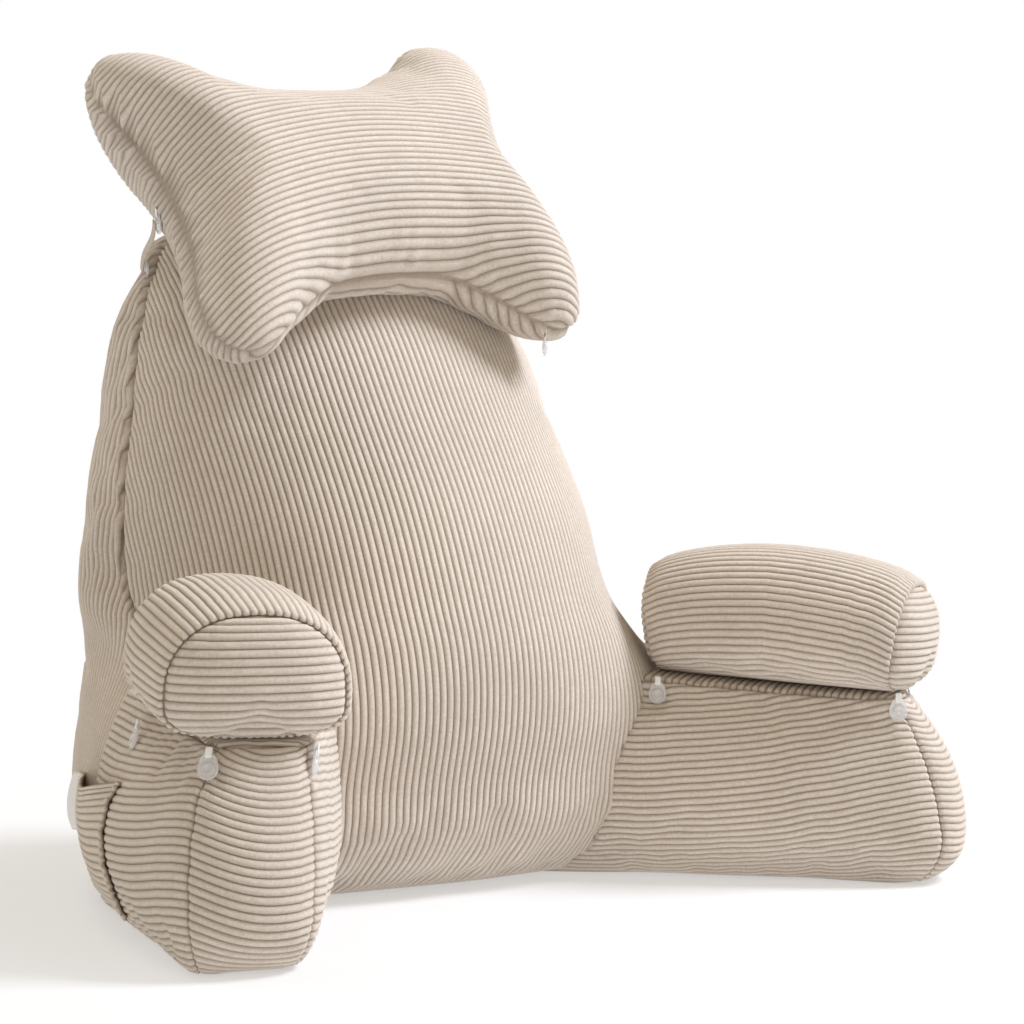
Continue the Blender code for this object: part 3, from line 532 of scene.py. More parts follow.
# ---------------------------------------------------------------- meshes
class Cover:
    """Points, ribs and faces of one piece while it is put together."""

    def __init__(self):
        self.co = np.zeros((0, 3))
        self.wale = np.zeros(0)
        self.fade = np.zeros(0)
        self.faces = []

    def add(self, co, wale, fade, faces):
        """Append points and faces and return the new points' numbers."""
        first = len(self.co)
        self.co = np.concatenate((self.co, co.reshape(-1, 3)))
        self.wale = np.concatenate((self.wale, np.broadcast_to(wale, co.shape[:-1]).ravel()))
        self.fade = np.concatenate((self.fade, np.broadcast_to(fade, co.shape[:-1]).ravel()))
        self.faces += [tuple(first + i for i in face) for face in faces]
        return first + np.arange(co.reshape(-1, 3).shape[0])

    def lay(self, panel):
        """Append a woven panel."""
        rows, cols = panel["wale"].shape
        numbers = self.add(panel["co"], panel["wale"], panel["fade"], grid_faces(rows, cols))
        return numbers.reshape(rows, cols)

    def merge(self, distance=MERGE):
        """Join points that coincide and drop what collapses."""
        mesh = self.mesh("merging")
        work = bmesh.new()
        work.from_mesh(mesh)
        bmesh.ops.remove_doubles(work, verts=work.verts[:], dist=distance)
        loose = [v for v in work.verts if not v.link_faces]
        bmesh.ops.delete(work, geom=loose, context="VERTS")
        twins = {}
        for face in list(work.faces):
            key = frozenset(v.index for v in face.verts)
            if key in twins:
                work.faces.remove(face)
            else:
                twins[key] = face
        wale, fade = work.verts.layers.float["wale"], work.verts.layers.float["fade"]
        work.verts.index_update()
        self.co = np.array([v.co for v in work.verts], float)
        self.wale = np.array([v[wale] for v in work.verts])
        self.fade = np.array([v[fade] for v in work.verts])
        self.faces = [tuple(v.index for v in f.verts) for f in work.faces]
        work.free()
        bpy.data.meshes.remove(mesh)

    def cap(self):
        """Close every open edge loop."""
        for rim in rims(self.faces):
            self.faces.append(tuple(rim))

    def mesh(self, name):
        """The piece as mesh data, with its ribs as attributes."""
        mesh = bpy.data.meshes.new(name)
        mesh.from_pydata(self.co.tolist(), [], self.faces)
        for label, values in (("wale", self.wale), ("fade", self.fade)):
            mesh.attributes.new(label, "FLOAT", "POINT").data.foreach_set("value", values)
        return mesh


def grid_faces(rows, cols):
    """Faces of a grid of points, numbered row by row."""
    i, j = np.meshgrid(np.arange(rows - 1), np.arange(cols - 1), indexing="ij")
    a = (i * cols + j).ravel()
    return np.stack((a, a + 1, a + cols + 1, a + cols), axis=1).tolist()


def rims(faces):
    """Closed loops of edges that belong to one face only."""
    seen = {}
    for face in faces:
        for a, b in zip(face, face[1:] + face[:1]):
            key = (a, b) if a < b else (b, a)
            seen[key] = None if key in seen else (a, b)
    after = {}
    for edge in seen.values():
        if edge:
            after.setdefault(edge[1], []).append(edge[0])
    loops = []
    while after:
        start = next(iter(after))
        loop, at = [], start
        while at in after:
            loop.append(at)
            following = after[at].pop()
            if not after[at]:
                del after[at]
            at = following
            if at == start:
                break
        if len(loop) > 2 and at == start:
            loops.append(loop)
    return loops


def cut(co, extra, faces, keep):
    """Cut a mesh along the line where keep is zero. Returns its points, extras and faces."""
    keep = np.where(np.abs(keep) < 1e-4, 1e-9, keep)
    co, extra, made = list(co), [list(row) for row in extra], {}
    faces_kept = []

    def crossing(a, b):
        key = (a, b) if a < b else (b, a)
        if key not in made:
            low, high = key
            t = keep[low] / (keep[low] - keep[high])
            co.append(co[low] + t * (co[high] - co[low]))
            extra.append([p + t * (q - p) for p, q in zip(extra[low], extra[high])])
            made[key] = len(co) - 1
        return made[key]

    inside = keep > 0
    for face in faces:
        flags = [inside[i] for i in face]
        if all(flags):
            faces_kept.append(tuple(face))
        elif any(flags):
            polygon = []
            for a, b in zip(face, list(face[1:]) + [face[0]]):
                if inside[a]:
                    polygon.append(a)
                if inside[a] != inside[b]:
                    polygon.append(crossing(a, b))
            if len(polygon) > 2:
                faces_kept.append(tuple(polygon))
    used = sorted({i for face in faces_kept for i in face})
    number = {old: new for new, old in enumerate(used)}
    faces_kept = [tuple(number[i] for i in face) for face in faces_kept]
    return np.array([co[i] for i in used]), np.array([extra[i] for i in used]), faces_kept


def zip_loops(loop_a, at_a, loop_b, at_b):
    """Triangles between two closed loops of points, matched by their place along the seam."""
    def ordered(loop, at):
        loop, at = list(loop), np.asarray(at, float)
        turn = np.diff(np.concatenate((at, at[:1])))
        if np.sum((turn + 0.5) % 1.0 - 0.5) < 0:
            loop, at = loop[::-1], at[::-1]
        first = int(np.argmin(at))
        loop = loop[first:] + loop[:first]
        at = np.concatenate((at[first:], at[:first]))
        return loop + loop[:1], np.concatenate((np.maximum.accumulate(at), [at[0] + 1.0]))

    a, place_a = ordered(loop_a, at_a)
    b, place_b = ordered(loop_b, at_b)
    i = j = 0
    faces = []
    while i < len(a) - 1 or j < len(b) - 1:
        step_a = i < len(a) - 1 and (j == len(b) - 1 or place_a[i + 1] <= place_b[j + 1])
        if step_a:
            faces.append((a[i], a[i + 1], b[j]))
            i += 1
        else:
            faces.append((b[j + 1], b[j], a[i]))
            j += 1
    return faces


def ray_share(points, outline, start, end):
    """Place of plan points in an outline: share of the way out, and where that way meets it.

    The way out of a point runs straight from its nearest point on the middle line.
    """
    points = np.asarray(points, float)
    if len(points) > 8000:
        parts = [ray_share(points[i:i + 8000], outline, start, end)
                 for i in range(0, len(points), 8000)]
        return tuple(np.concatenate(column) for column in zip(*parts))
    start, end = np.array(start, float), np.array(end, float)
    along = end - start
    t = np.clip((points - start) @ along / max(along @ along, 1e-12), 0, 1)
    root = start + t[:, None] * along
    out = points - root
    radius = np.linalg.norm(out, axis=1)
    out = np.where(radius[:, None] > 1e-9, out / np.maximum(radius, 1e-9)[:, None], (0.0, 1.0))
    a = outline[None]
    edge = np.roll(outline, -1, axis=0)[None] - a
    gap = a - root[:, None]
    cross = out[:, None, 0] * edge[..., 1] - out[:, None, 1] * edge[..., 0]
    cross = np.where(np.abs(cross) < 1e-12, 1e-12, cross)
    reach = (gap[..., 0] * edge[..., 1] - gap[..., 1] * edge[..., 0]) / cross
    where = (gap[..., 0] * out[:, None, 1] - gap[..., 1] * out[:, None, 0]) / cross
    valid = (where >= -1e-6) & (where <= 1 + 1e-6) & (reach > 1e-6)
    reach = np.where(valid, reach, 9.0)
    best = np.argmin(reach, axis=1)
    pick = np.arange(len(points))
    length = reach[pick, best]
    place = (best + np.clip(where[pick, best], 0, 1)) / len(outline)
    return radius / length, place % 1.0, length - radius


def spoked(outline, start, end, nodes, fan):
    """Points of an outline met by spokes from its middle line, opposite ones from the same spot."""
    start, end = np.array(start, float), np.array(end, float)
    along = unit(end - start)
    over = np.array((-along[1], along[0]))
    line = np.linspace(0, 1, nodes + 1)[:, None]
    turn = np.linspace(0, np.pi, fan + 1)[1:-1, None]
    roots = (end + (start - end) * line, np.tile(start, (fan - 1, 1)),
             start + (end - start) * line, np.tile(end, (fan - 1, 1)))
    ways = (np.tile(over, (nodes + 1, 1)), over * np.cos(turn) - along * np.sin(turn),
            np.tile(-over, (nodes + 1, 1)), along * np.sin(turn) - over * np.cos(turn))
    roots, ways = np.concatenate(roots), np.concatenate(ways)
    share, _, _ = ray_share(roots + 1e-4 * ways, outline, start, end)
    return roots + ways * (1e-4 / share)[:, None]


def blurred(rows, spread):
    """Rows of numbers evened out with their neighbours over a spread counted in rows."""
    reach = int(math.ceil(3 * spread))
    weight = np.exp(-0.5 * (np.arange(-reach, reach + 1) / spread) ** 2)
    wide = np.concatenate((np.repeat(rows[:1], reach, axis=0), rows,
                           np.repeat(rows[-1:], reach, axis=0)))
    return sum(w * wide[k:k + len(rows)] for k, w in enumerate(weight)) / weight.sum()


def inset_panel(polar, outline, start, end, rise, cloth, middle, seam_way, rows, pitch, seed,
                ribs_along=0, tucks=1.0, steps=RIB_STEPS, home=None, even=0.0, depth=1.0,
                steep=1.0, fall_limit=2.5):
    """A panel that fills an outline, its ribs running along one plan axis.

    polar holds the filled form, from its middle line in row 0 to its seam in the last row. rise is
    the height of the panel at a share of the way out, so that ribs keep their pitch over its slope.
    home gives the line that the ribs follow, and even the distance over which they even out.
    """
    run, over = (0, 1) if ribs_along == 0 else (1, 0)
    low, high = outline.min(axis=0), outline.max(axis=0)
    marks_run = np.linspace(low[run] - 0.0005, high[run] + 0.0005,
                            max(4, int(round((high[run] - low[run]) / rows))))
    dense = np.arange(low[over] - 0.004, high[over] + 0.0045, 0.0015)
    flat = np.zeros((len(marks_run), len(dense), 2))
    flat[..., run] = marks_run[:, None]
    flat[..., over] = dense[None]
    share, _, _ = ray_share(flat.reshape(-1, 2), outline, start, end)
    height = rise(np.clip(share, 0, 1)).reshape(flat.shape[:2])
    arc = np.concatenate((np.zeros((len(marks_run), 1)),
                          np.cumsum(np.hypot(np.diff(dense)[None],
                                             steep * np.diff(height, axis=1)), axis=1)), axis=1)
    centre = 0.5 * (start[over] + end[over])
    arc = arc - arc[:, [int(np.argmin(np.abs(dense - centre)))]]
    if even:
        arc = blurred(arc, even / (marks_run[1] - marks_run[0]))
    line = home(marks_run) if home else np.full(len(marks_run), centre)
    base = np.array([np.interp(spot, dense, row) for spot, row in zip(line, arc)])
    ribs = (arc - base[:, None]) / pitch
    marks = rib_marks(ribs[:, 0].min(), ribs[:, -1].max(), steps)
    points = np.zeros((len(marks_run), len(marks), 2))
    points[..., run] = marks_run[:, None]
    for i in range(len(marks_run)):
        points[i, :, over] = np.interp(marks, ribs[i], dense)
    wale = np.broadcast_to(marks[None], points.shape[:2])
    flat_points = points.reshape(-1, 2)
    gap = ray_share(flat_points, outline, start, end)[2]
    faces = grid_faces(*points.shape[:2])
    plan, wales, faces = cut(flat_points, wale.reshape(-1, 1), faces, gap - SEAM_INSET)
    share, place, gap = ray_share(plan, outline, start, end)
    rows_in, cols_in = polar.shape[0] - 1, polar.shape[1] - 1
    u, v = np.clip(share, 0, 1) * rows_in, place * cols_in
    co = sampled(polar, u, v, True)
    away = 0.25
    run_way = sampled(polar, np.minimum(u + away, rows_in), v, True) - sampled(
        polar, np.maximum(u - away, 0), v, True)
    side_way = sampled(polar, u, v + away, True) - sampled(polar, u, v - away, True)
    normal = unit(np.cross(run_way, side_way))
    facing = unit(np.mean(co, axis=0) - middle)
    normal = normal * np.where(normal @ facing < 0, -1.0, 1.0)[:, None]
    near_middle = share < 0.06
    if near_middle.any() and (~near_middle).any():
        typical = unit(normal[share < 0.2].mean(axis=0))
        weight = smoothstep(share / 0.12)[:, None]
        normal = unit(normal * weight + typical * (1 - weight))
    ring = sampled(polar, np.full(200, rows_in), np.linspace(0, cols_in, 200), True)
    along = np.interp(place, np.linspace(0, 1, 200), arc_length(ring))
    slope = rise(np.clip(share - 0.02, 0, 1)) - rise(np.clip(share, 0, 1))
    fall = np.hypot(1.0, slope / np.maximum(0.02 * gap / np.maximum(1 - share, 1e-6), 1e-5))
    distance = np.maximum(gap, 0) * np.clip(fall, 1.0, fall_limit)
    normal = turned(normal, seam_way(place), distance)
    offset = seam_shape(distance, along, cloth, seed, depth, tucks) + WAVES * unevenness(co, seed)
    fade = smoothstep((distance - RIB_START) / cloth.seam_fade)
    co = co + normal * offset[:, None]
    return {"co": co, "wale": wales[:, 0], "fade": fade, "faces": faces, "place": place}


def rim_of(panel):
    """The border loop of an inset panel, with its place along the seam."""
    loop = sorted(rims(panel["faces"]), key=len)[-1]
    return loop, panel["place"][loop]


# ---------------------------------------------------------------- filling
def stacked(grids):
    """One closed coarse mesh from grids that share their borders, and each grid's point numbers."""
    points = np.concatenate([g.reshape(-1, 3) for g in grids])
    keys, number = np.unique(np.round(points, 6), axis=0, return_inverse=True)
    number = number.ravel()
    faces, numbers, first = [], [], 0
    for grid in grids:
        size = grid.shape[0] * grid.shape[1]
        own = number[first:first + size]
        numbers.append(own.reshape(grid.shape[:2]))
        for face in grid_faces(*grid.shape[:2]):
            kept = []
            for i in face:
                if own[i] not in kept:
                    kept.append(int(own[i]))
            if len(kept) > 2:
                faces.append(tuple(kept))
        first += size
    return keys, faces, numbers


def fill(name, grids, pins, filling, swell=1.0):
    """Let the filling press a piece's cover out, its seams held, under Blender's cloth."""
    points, faces, numbers = stacked(grids)
    own_points = len(points)
    for rim in rims(faces):
        middle = len(points)
        points = np.concatenate((points, points[rim].mean(axis=0)[None]))
        faces += [(a, b, middle) for a, b in zip(rim, rim[1:] + rim[:1])]
    held = np.zeros(len(points))
    for own, pin in zip(numbers, pins):
        held[own.ravel()] = np.maximum(held[own.ravel()], pin.ravel())
    held[own_points:] = 1.0
    mesh = bpy.data.meshes.new(name + "_filling")
    mesh.from_pydata(points.tolist(), [], faces)
    work = bmesh.new()
    work.from_mesh(mesh)
    bmesh.ops.recalc_face_normals(work, faces=work.faces[:])
    work.to_mesh(mesh)
    work.free()
    piece = bpy.data.objects.new(name + "_filling", mesh)
    bpy.context.scene.collection.objects.link(piece)
    group = piece.vertex_groups.new(name="sewn")
    for weight in np.unique(held):
        if weight > 0:
            group.add(np.flatnonzero(held == weight).tolist(), float(weight), "REPLACE")
    cloth = piece.modifiers.new("cover", "CLOTH")
    cloth.settings.vertex_group_mass = "sewn"
    cloth.settings.use_pressure = True
    cloth.settings.uniform_pressure_force = filling.pressure
    cloth.settings.effector_weights.gravity = 0.0
    cloth.settings.shrink_min = -filling.spare_cloth
    cloth.settings.bending_stiffness = 0.4
    cloth.settings.quality = 6
    cloth.point_cache.frame_start = 1
    cloth.point_cache.frame_end = filling.steps
    for step in range(1, filling.steps + 1):
        bpy.context.scene.frame_set(step)
    pressed = piece.evaluated_get(bpy.context.evaluated_depsgraph_get())
    moved = np.zeros(len(points) * 3)
    pressed.to_mesh().vertices.foreach_get("co", moved)
    moved = moved.reshape(-1, 3) - points
    pressed.to_mesh_clear()
    bpy.data.objects.remove(piece)
    bpy.data.meshes.remove(mesh)
    bpy.context.scene.frame_set(1)
    most = filling.most_swell * swell
    length = np.linalg.norm(moved, axis=1, keepdims=True)
    moved = moved * (most * np.tanh(length / most) / np.maximum(length, 1e-9))
    print("filled %s: moved %.1f mm at most, %.1f mm on average"
          % (name, 1000 * length.max(), 1000 * length.mean()))
    return [(points + moved)[own] for own in numbers]


# ---------------------------------------------------------------- geometry node trees
def interface(tree, inputs):
    """Declare a tree's inputs and its geometry output."""
    tree.interface.new_socket("Geometry", in_out="INPUT", socket_type="NodeSocketGeometry")
    for name, kind, value in inputs:
        made = tree.interface.new_socket(name, in_out="INPUT", socket_type="NodeSocket" + kind)
        if value is not None:
            made.default_value = value
    tree.interface.new_socket("Geometry", in_out="OUTPUT", socket_type="NodeSocketGeometry")
    return tree.nodes.new("NodeGroupInput"), tree.nodes.new("NodeGroupOutput")


def feed(tree, node, inputs):
    """Set a node's inputs, each to a value or from a socket, and give its first output."""
    for name, value in inputs.items():
        if isinstance(value, bpy.types.NodeSocket):
            tree.links.new(value, node.inputs[name])
        else:
            node.inputs[name].default_value = value
    return node.outputs[0]


def maths(tree, operation, *values):
    """A math node on numbers or sockets, and its result."""
    node = tree.nodes.new("ShaderNodeMath")
    node.operation = operation
    return feed(tree, node, dict(enumerate(values)))


def ending(tree, geometry, given, output):
    """Realize what a tree made and give it its material."""
    realized = feed(tree, tree.nodes.new("GeometryNodeRealizeInstances"), {0: geometry})
    finished = feed(tree, tree.nodes.new("GeometryNodeSetMaterial"),
                    {"Geometry": realized, "Material": given.outputs["Material"]})
    tree.links.new(finished, output.inputs[0])


def ribs_tree():
    """Raise the ribs of the corduroy along a cover's normals."""
    found = bpy.data.node_groups.get("Corduroy ribs")
    if found:
        return found
    tree = bpy.data.node_groups.new("Corduroy ribs", "GeometryNodeTree")
    given, output = interface(tree, (("Height", "Float", 0.0017), ("Fullness", "Float", 0.6),
                                     ("Material", "Material", None)))
    stored = {}
    for name in ("wale", "fade"):
        node = tree.nodes.new("GeometryNodeInputNamedAttribute")
        node.data_type = "FLOAT"
        node.inputs["Name"].default_value = name
        stored[name] = node.outputs["Attribute"]
    wave = maths(tree, "ABSOLUTE", maths(tree, "SINE", maths(
        tree, "MULTIPLY", stored["wale"], math.pi)))
    rounded = maths(tree, "POWER", wave, given.outputs["Fullness"])
    high = maths(tree, "MULTIPLY", maths(tree, "MULTIPLY", rounded, given.outputs["Height"]),
                 stored["fade"])
    # The crown share, zero where ribs run out at seams and at the floor, drives the painted highlight
    # and painted shade of the material.
    crown = tree.nodes.new("GeometryNodeStoreNamedAttribute")
    crown.data_type = "FLOAT"
    crown.domain = "POINT"
    marked = feed(tree, crown, {"Geometry": given.outputs["Geometry"], "Name": "crown",
                                "Value": maths(tree, "MULTIPLY", wave, stored["fade"])})
    scale = tree.nodes.new("ShaderNodeVectorMath")
    scale.operation = "SCALE"
    offset = feed(tree, scale, {0: tree.nodes.new("GeometryNodeInputNormal").outputs[0],
                                "Scale": high})
    raised = feed(tree, tree.nodes.new("GeometryNodeSetPosition"),
                  {"Geometry": marked, "Offset": offset})
    ending(tree, raised, given, output)
    return tree


def stitch_tree():
    """Lay short stitches at even steps along a seam line."""
    found = bpy.data.node_groups.get("Row of stitches")
    if found:
        return found
    tree = bpy.data.node_groups.new("Row of stitches", "GeometryNodeTree")
    given, output = interface(tree, (("Step", "Float", 0.003), ("Length", "Float", 0.0022),
                                     ("Thickness", "Float", 0.0003),
                                     ("Material", "Material", None)))
    line = feed(tree, tree.nodes.new("GeometryNodeMeshToCurve"),
                {"Mesh": given.outputs["Geometry"]})
    resample = tree.nodes.new("GeometryNodeResampleCurve")
    resample.mode = "LENGTH"
    even = feed(tree, resample, {"Curve": line, "Length": given.outputs["Step"]})
    ball = feed(tree, tree.nodes.new("GeometryNodeMeshUVSphere"),
                {"Segments": 5, "Rings": 4, "Radius": 1.0})
    thick = given.outputs["Thickness"]
    size = feed(tree, tree.nodes.new("ShaderNodeCombineXYZ"), {
        "X": maths(tree, "MULTIPLY", given.outputs["Length"], 0.5), "Y": thick, "Z": thick})
    align = tree.nodes.new("FunctionNodeAlignRotationToVector")
    align.axis = "X"
    turn = feed(tree, align, {"Vector": tree.nodes.new("GeometryNodeInputTangent").outputs[0]})
    stitches = feed(tree, tree.nodes.new("GeometryNodeInstanceOnPoints"),
                    {"Points": even, "Instance": ball, "Rotation": turn, "Scale": size})
    ending(tree, stitches, given, output)
    return tree


def through(piece, tree, values):
    """Run a piece through a node tree and keep the result as its plain mesh."""
    modifier = piece.modifiers.new(tree.name, "NODES")
    modifier.node_group = tree
    sockets = {item.name: item.identifier for item in tree.interface.items_tree
               if item.item_type == "SOCKET" and item.in_out == "INPUT"}
    for name, value in values.items():
        modifier[sockets[name]] = value
    bpy.context.view_layer.update()
    shaped = bpy.data.meshes.new_from_object(
        piece.evaluated_get(bpy.context.evaluated_depsgraph_get()))
    piece.modifiers.clear()
    old = piece.data
    piece.data = shaped
    shaped.name = piece.name
    bpy.data.meshes.remove(old)
    return piece


# ---------------------------------------------------------------- materials
def shader_of(name):
    """A new node material and its main shader, or None where it exists already."""
    made = bpy.data.materials.get(name)
    if made:
        return made, None
    made = bpy.data.materials.new(name)
    made.use_nodes = True
    return made, made.node_tree.nodes["Principled BSDF"]


def mixed(tree, factor, first, second, blend="MIX"):
    """A colour mix of two colours or sockets."""
    node = tree.nodes.new("ShaderNodeMix")
    node.data_type = "RGBA"
    node.blend_type = blend
    feed(tree, node, {0: factor, 6: first, 7: second})
    return node.outputs[2]


def noise(tree, scale, detail=2.0, stretch=None, roughness=0.5):
    """Noise on the piece's own coordinates, in metres."""
    place = tree.nodes.new("ShaderNodeTexCoord").outputs["Object"]
    if stretch:
        place = feed(tree, tree.nodes.new("ShaderNodeMapping"),
                     {"Scale": stretch, "Vector": place})
    node = tree.nodes.new("ShaderNodeTexNoise")
    feed(tree, node, {"Scale": scale, "Detail": detail, "Roughness": roughness, "Vector": place})
    return node.outputs["Fac"]


def ranged(tree, value, low, high, to_low=0.0, to_high=1.0):
    """A value brought from one range to another, kept inside it."""
    node = tree.nodes.new("ShaderNodeMapRange")
    return feed(tree, node, dict(enumerate((value, low, high, to_low, to_high))))


def bumped(tree, shader, height, distance, strength=1.0):
    """Fine relief on a shader."""
    bump = feed(tree, tree.nodes.new("ShaderNodeBump"),
                {"Strength": strength, "Distance": distance, "Height": height})
    tree.links.new(bump, shader.inputs["Normal"])


def shaded(colour, share):
    """A colour brought to a share of its brightness, with full cover."""
    return tuple(share * c for c in colour) + (1.0,)


def opaque(colour):
    """A property's colour with full cover."""
    return tuple(colour) + (1.0,)


def corduroy(colours):
    """Wide-wale corduroy: soft pile on the ribs, crowns lighter from worn pile and a painted
    highlight, painted shade in the grooves and seams, and a fine nap.
    """
    made, shader = shader_of("Corduroy cover")
    if not shader:
        return made
    tree = made.node_tree
    raised = tree.nodes.new("ShaderNodeAttribute")
    raised.attribute_name = "crown"
    crown = raised.outputs["Fac"]
    drift = noise(tree, 7.0, 3.0)
    crushed = noise(tree, 85.0, 3.0, roughness=0.6)
    nap = noise(tree, 1150.0, 2.0, roughness=0.7)
    fleck = noise(tree, 420.0, 2.0)
    # Lighter crowns: worn pile in patches, and a painted highlight on the tops of the ribs.
    crown_wear_and_highlight = maths(tree, "MULTIPLY", ranged(tree, crown, 0.55, 1.0),
                   ranged(tree, crushed, 0.36, 0.66, 0.35, 1.0))
    colour = mixed(tree, crown_wear_and_highlight, opaque(colours.pile), opaque(colours.crown_wear_and_highlight))
    # Painted shade between the ribs; crown is zero also along seams, at the floor and on the pocket's
    # inner side, so shade is painted there too.
    painted_groove_shade = maths(tree, "POWER", maths(tree, "SUBTRACT", 1.0, crown), 2.6)
    painted_groove_shade = maths(tree, "MULTIPLY", painted_groove_shade, 0.9)
    colour = mixed(tree, painted_groove_shade, colour, opaque(colours.painted_groove_shade))
    tone = maths(tree, "MULTIPLY", ranged(tree, drift, 0.3, 0.7, 0.94, 1.05),
                 ranged(tree, fleck, 0.3, 0.7, 0.93, 1.06))
    tone = maths(tree, "MULTIPLY", tone, ranged(tree, nap, 0.25, 0.75, 0.90, 1.08))
    grey = feed(tree, tree.nodes.new("ShaderNodeCombineColor"), {0: tone, 1: tone, 2: tone})
    feed(tree, shader, {
        "Base Color": mixed(tree, 1.0, colour, grey, "MULTIPLY"),
        "Roughness": ranged(tree, crushed, 0.3, 0.7, 0.88, 1.0),
        "Specular IOR Level": 0.18, "Sheen Weight": 0.35, "Sheen Roughness": 0.45,
        "Sheen Tint": (1.0, 0.95, 0.88, 1.0)})
    height = maths(tree, "ADD", nap, maths(tree, "MULTIPLY", fleck, 0.8))
    height = maths(tree, "ADD", height, maths(tree, "MULTIPLY", crushed, 0.5))
    bumped(tree, shader, height, 0.00055, 0.75)
    return made


def plain_weave(name, colour, scale, sheen):
    """Fine woven tape or thread, with crossing yarns."""
    made, shader = shader_of(name)
    if not shader:
        return made
    tree = made.node_tree
    yarn = noise(tree, scale, 1.0, (1.0, 1.0, 3.0))
    cross = noise(tree, scale, 1.0, (3.0, 3.0, 1.0))
    cloud = noise(tree, 40.0, 2.0)
    tone = mixed(tree, ranged(tree, yarn, 0.3, 0.7, 0.0, 0.5), opaque(colour),
                 shaded(colour, 0.80))
    tone = mixed(tree, ranged(tree, cloud, 0.3, 0.7, 0.0, 0.25), tone, shaded(colour, 0.88))
    feed(tree, shader, {"Base Color": tone, "Sheen Weight": sheen,
                        "Roughness": ranged(tree, cross, 0.3, 0.7, 0.55, 0.8)})
    bumped(tree, shader, maths(tree, "ADD", yarn, cross), 0.0002, 0.6)
    return made


def clear_plastic(colours):
    """Clear moulded plastic with faint scuffs."""
    made, shader = shader_of("Clear snap plastic")
    if not shader:
        return made
    tree = made.node_tree
    scuff = noise(tree, 260.0, 3.0)
    tint = mixed(tree, ranged(tree, noise(tree, 90.0, 1.0), 0.35, 0.65, 0.0, 0.35),
                 opaque(colours.plastic), (0.90, 0.92, 0.95, 1.0))
    feed(tree, shader, {
        "Base Color": tint, "Roughness": ranged(tree, scuff, 0.3, 0.7, 0.05, 0.22),
        "Transmission Weight": 0.15, "Alpha": 0.50, "Specular IOR Level": 1.0, "IOR": 1.46,
        "Coat Weight": 1.0})
    bumped(tree, shader, scuff, 0.00008, 0.4)
    return made


def studio_floor(colours):
    """Matte white floor that runs out into the light of the room."""
    made, shader = shader_of("Studio floor")
    if not shader:
        return made
    tree = made.node_tree
    grain = ranged(tree, noise(tree, 14.0, 2.0), 0.3, 0.7)
    matte = feed(tree, shader, {
        "Base Color": mixed(tree, grain, opaque(colours.floor), shaded(colours.floor, 0.985)),
        "Roughness": 0.9, "Specular IOR Level": 0.1})
    away = tree.nodes.new("ShaderNodeVectorMath")
    away.operation = "LENGTH"
    feed(tree, away, {0: tree.nodes.new("ShaderNodeTexCoord").outputs["Object"]})
    glow = feed(tree, tree.nodes.new("ShaderNodeEmission"), {"Color": WHITE, "Strength": 1.0})
    spread = tree.nodes.new("ShaderNodeMapRange")
    spread.interpolation_type = "SMOOTHSTEP"
    share = feed(tree, spread, {"Value": away.outputs["Value"], "From Min": 0.35,
                                "From Max": 1.00, "To Min": 0.45})
    blend = feed(tree, tree.nodes.new("ShaderNodeMixShader"), {"Fac": share, 1: matte, 2: glow})
    tree.links.new(blend, tree.nodes["Material Output"].inputs["Surface"])
    return made


# ---------------------------------------------------------------- putting pieces in the scene
def new_piece(name, mesh):
    """Link a mesh into the scene as an object at the origin."""
    piece = bpy.data.objects.new(name, mesh)
    bpy.context.scene.collection.objects.link(piece)
    return piece


def fan_gaps(work):
    """Close each gap that is still open with triangles to its middle."""
    work.edges.index_update()
    rest = {e.index: e for e in work.edges if e.is_boundary}
    while rest:
        group, front = [], [rest.pop(min(rest))]
        while front:
            edge = front.pop()
            group.append(edge)
            for near in sorted(e.index for v in edge.verts for e in v.link_edges):
                if near in rest:
                    front.append(rest.pop(near))
        ends = [v.co for edge in group for v in edge.verts]
        hub = work.verts.new(sum(ends, Vector()) / len(ends))
        for edge in group:
            work.faces.new((edge.verts[0], edge.verts[1], hub))


def tidy_faces(mesh):
    """Close what is open, split large faces, turn every face outward and shade it smooth."""
    work = bmesh.new()
    work.from_mesh(mesh)
    bmesh.ops.holes_fill(work, edges=[e for e in work.edges if e.is_boundary], sides=0)
    fan_gaps(work)
    large = [f for f in work.faces if len(f.verts) > 4]
    bmesh.ops.triangulate(work, faces=large)
    bmesh.ops.recalc_face_normals(work, faces=work.faces[:])
    work.to_mesh(mesh)
    work.free()
    mesh.shade_smooth()
    return mesh


def corduroy_piece(name, cover, context, nodes, height=1.0):
    """Raise a cover's ribs and put it in the place of its CAD nodes."""
    cloth, colours = context.scene.pillow_cloth, context.scene.pillow_colours
    piece = new_piece(name, tidy_faces(cover.mesh(name)))
    through(piece, ribs_tree(), {"Height": cloth.wale_height * height,
                                 "Fullness": cloth.wale_fullness,
                                 "Material": corduroy(colours)})
    piece.data.shade_smooth()
    check_place(piece, nodes)
    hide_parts(*nodes)
    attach(piece, BODY)
    return piece


def check_place(piece, nodes):
    """Stop the script where a piece strays from the nodes that it stands for."""
    points = np.zeros(len(piece.data.vertices) * 3)
    piece.data.vertices.foreach_get("co", points)
    points = points.reshape(-1, 3)
    corners = np.array([[list(c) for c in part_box(node)] for node in nodes])
    low, high = corners[:, 0].min(axis=0), corners[:, 1].max(axis=0)
    stray = max((low - points.min(axis=0)).max(), (points.max(axis=0) - high).max())
    print("%s: %d faces, %.1f mm proud of its box" % (piece.name, len(piece.data.polygons),
                                                      1000 * stray))
    if stray > SLACK_BOX:
        raise RuntimeError("%s stands %.1f mm outside its node's box" % (piece.name, 1000 * stray))


def search_tree(grids):
    """Search tree over the surface of some coarse grids."""
    points, faces = [], []
    for grid in grids:
        first = len(points)
        points += [Vector(p) for p in grid.reshape(-1, 3).tolist()]
        faces += [[first + i for i in face] for face in grid_faces(*grid.shape[:2])]
    return BVHTree.FromPolygons(points, faces)


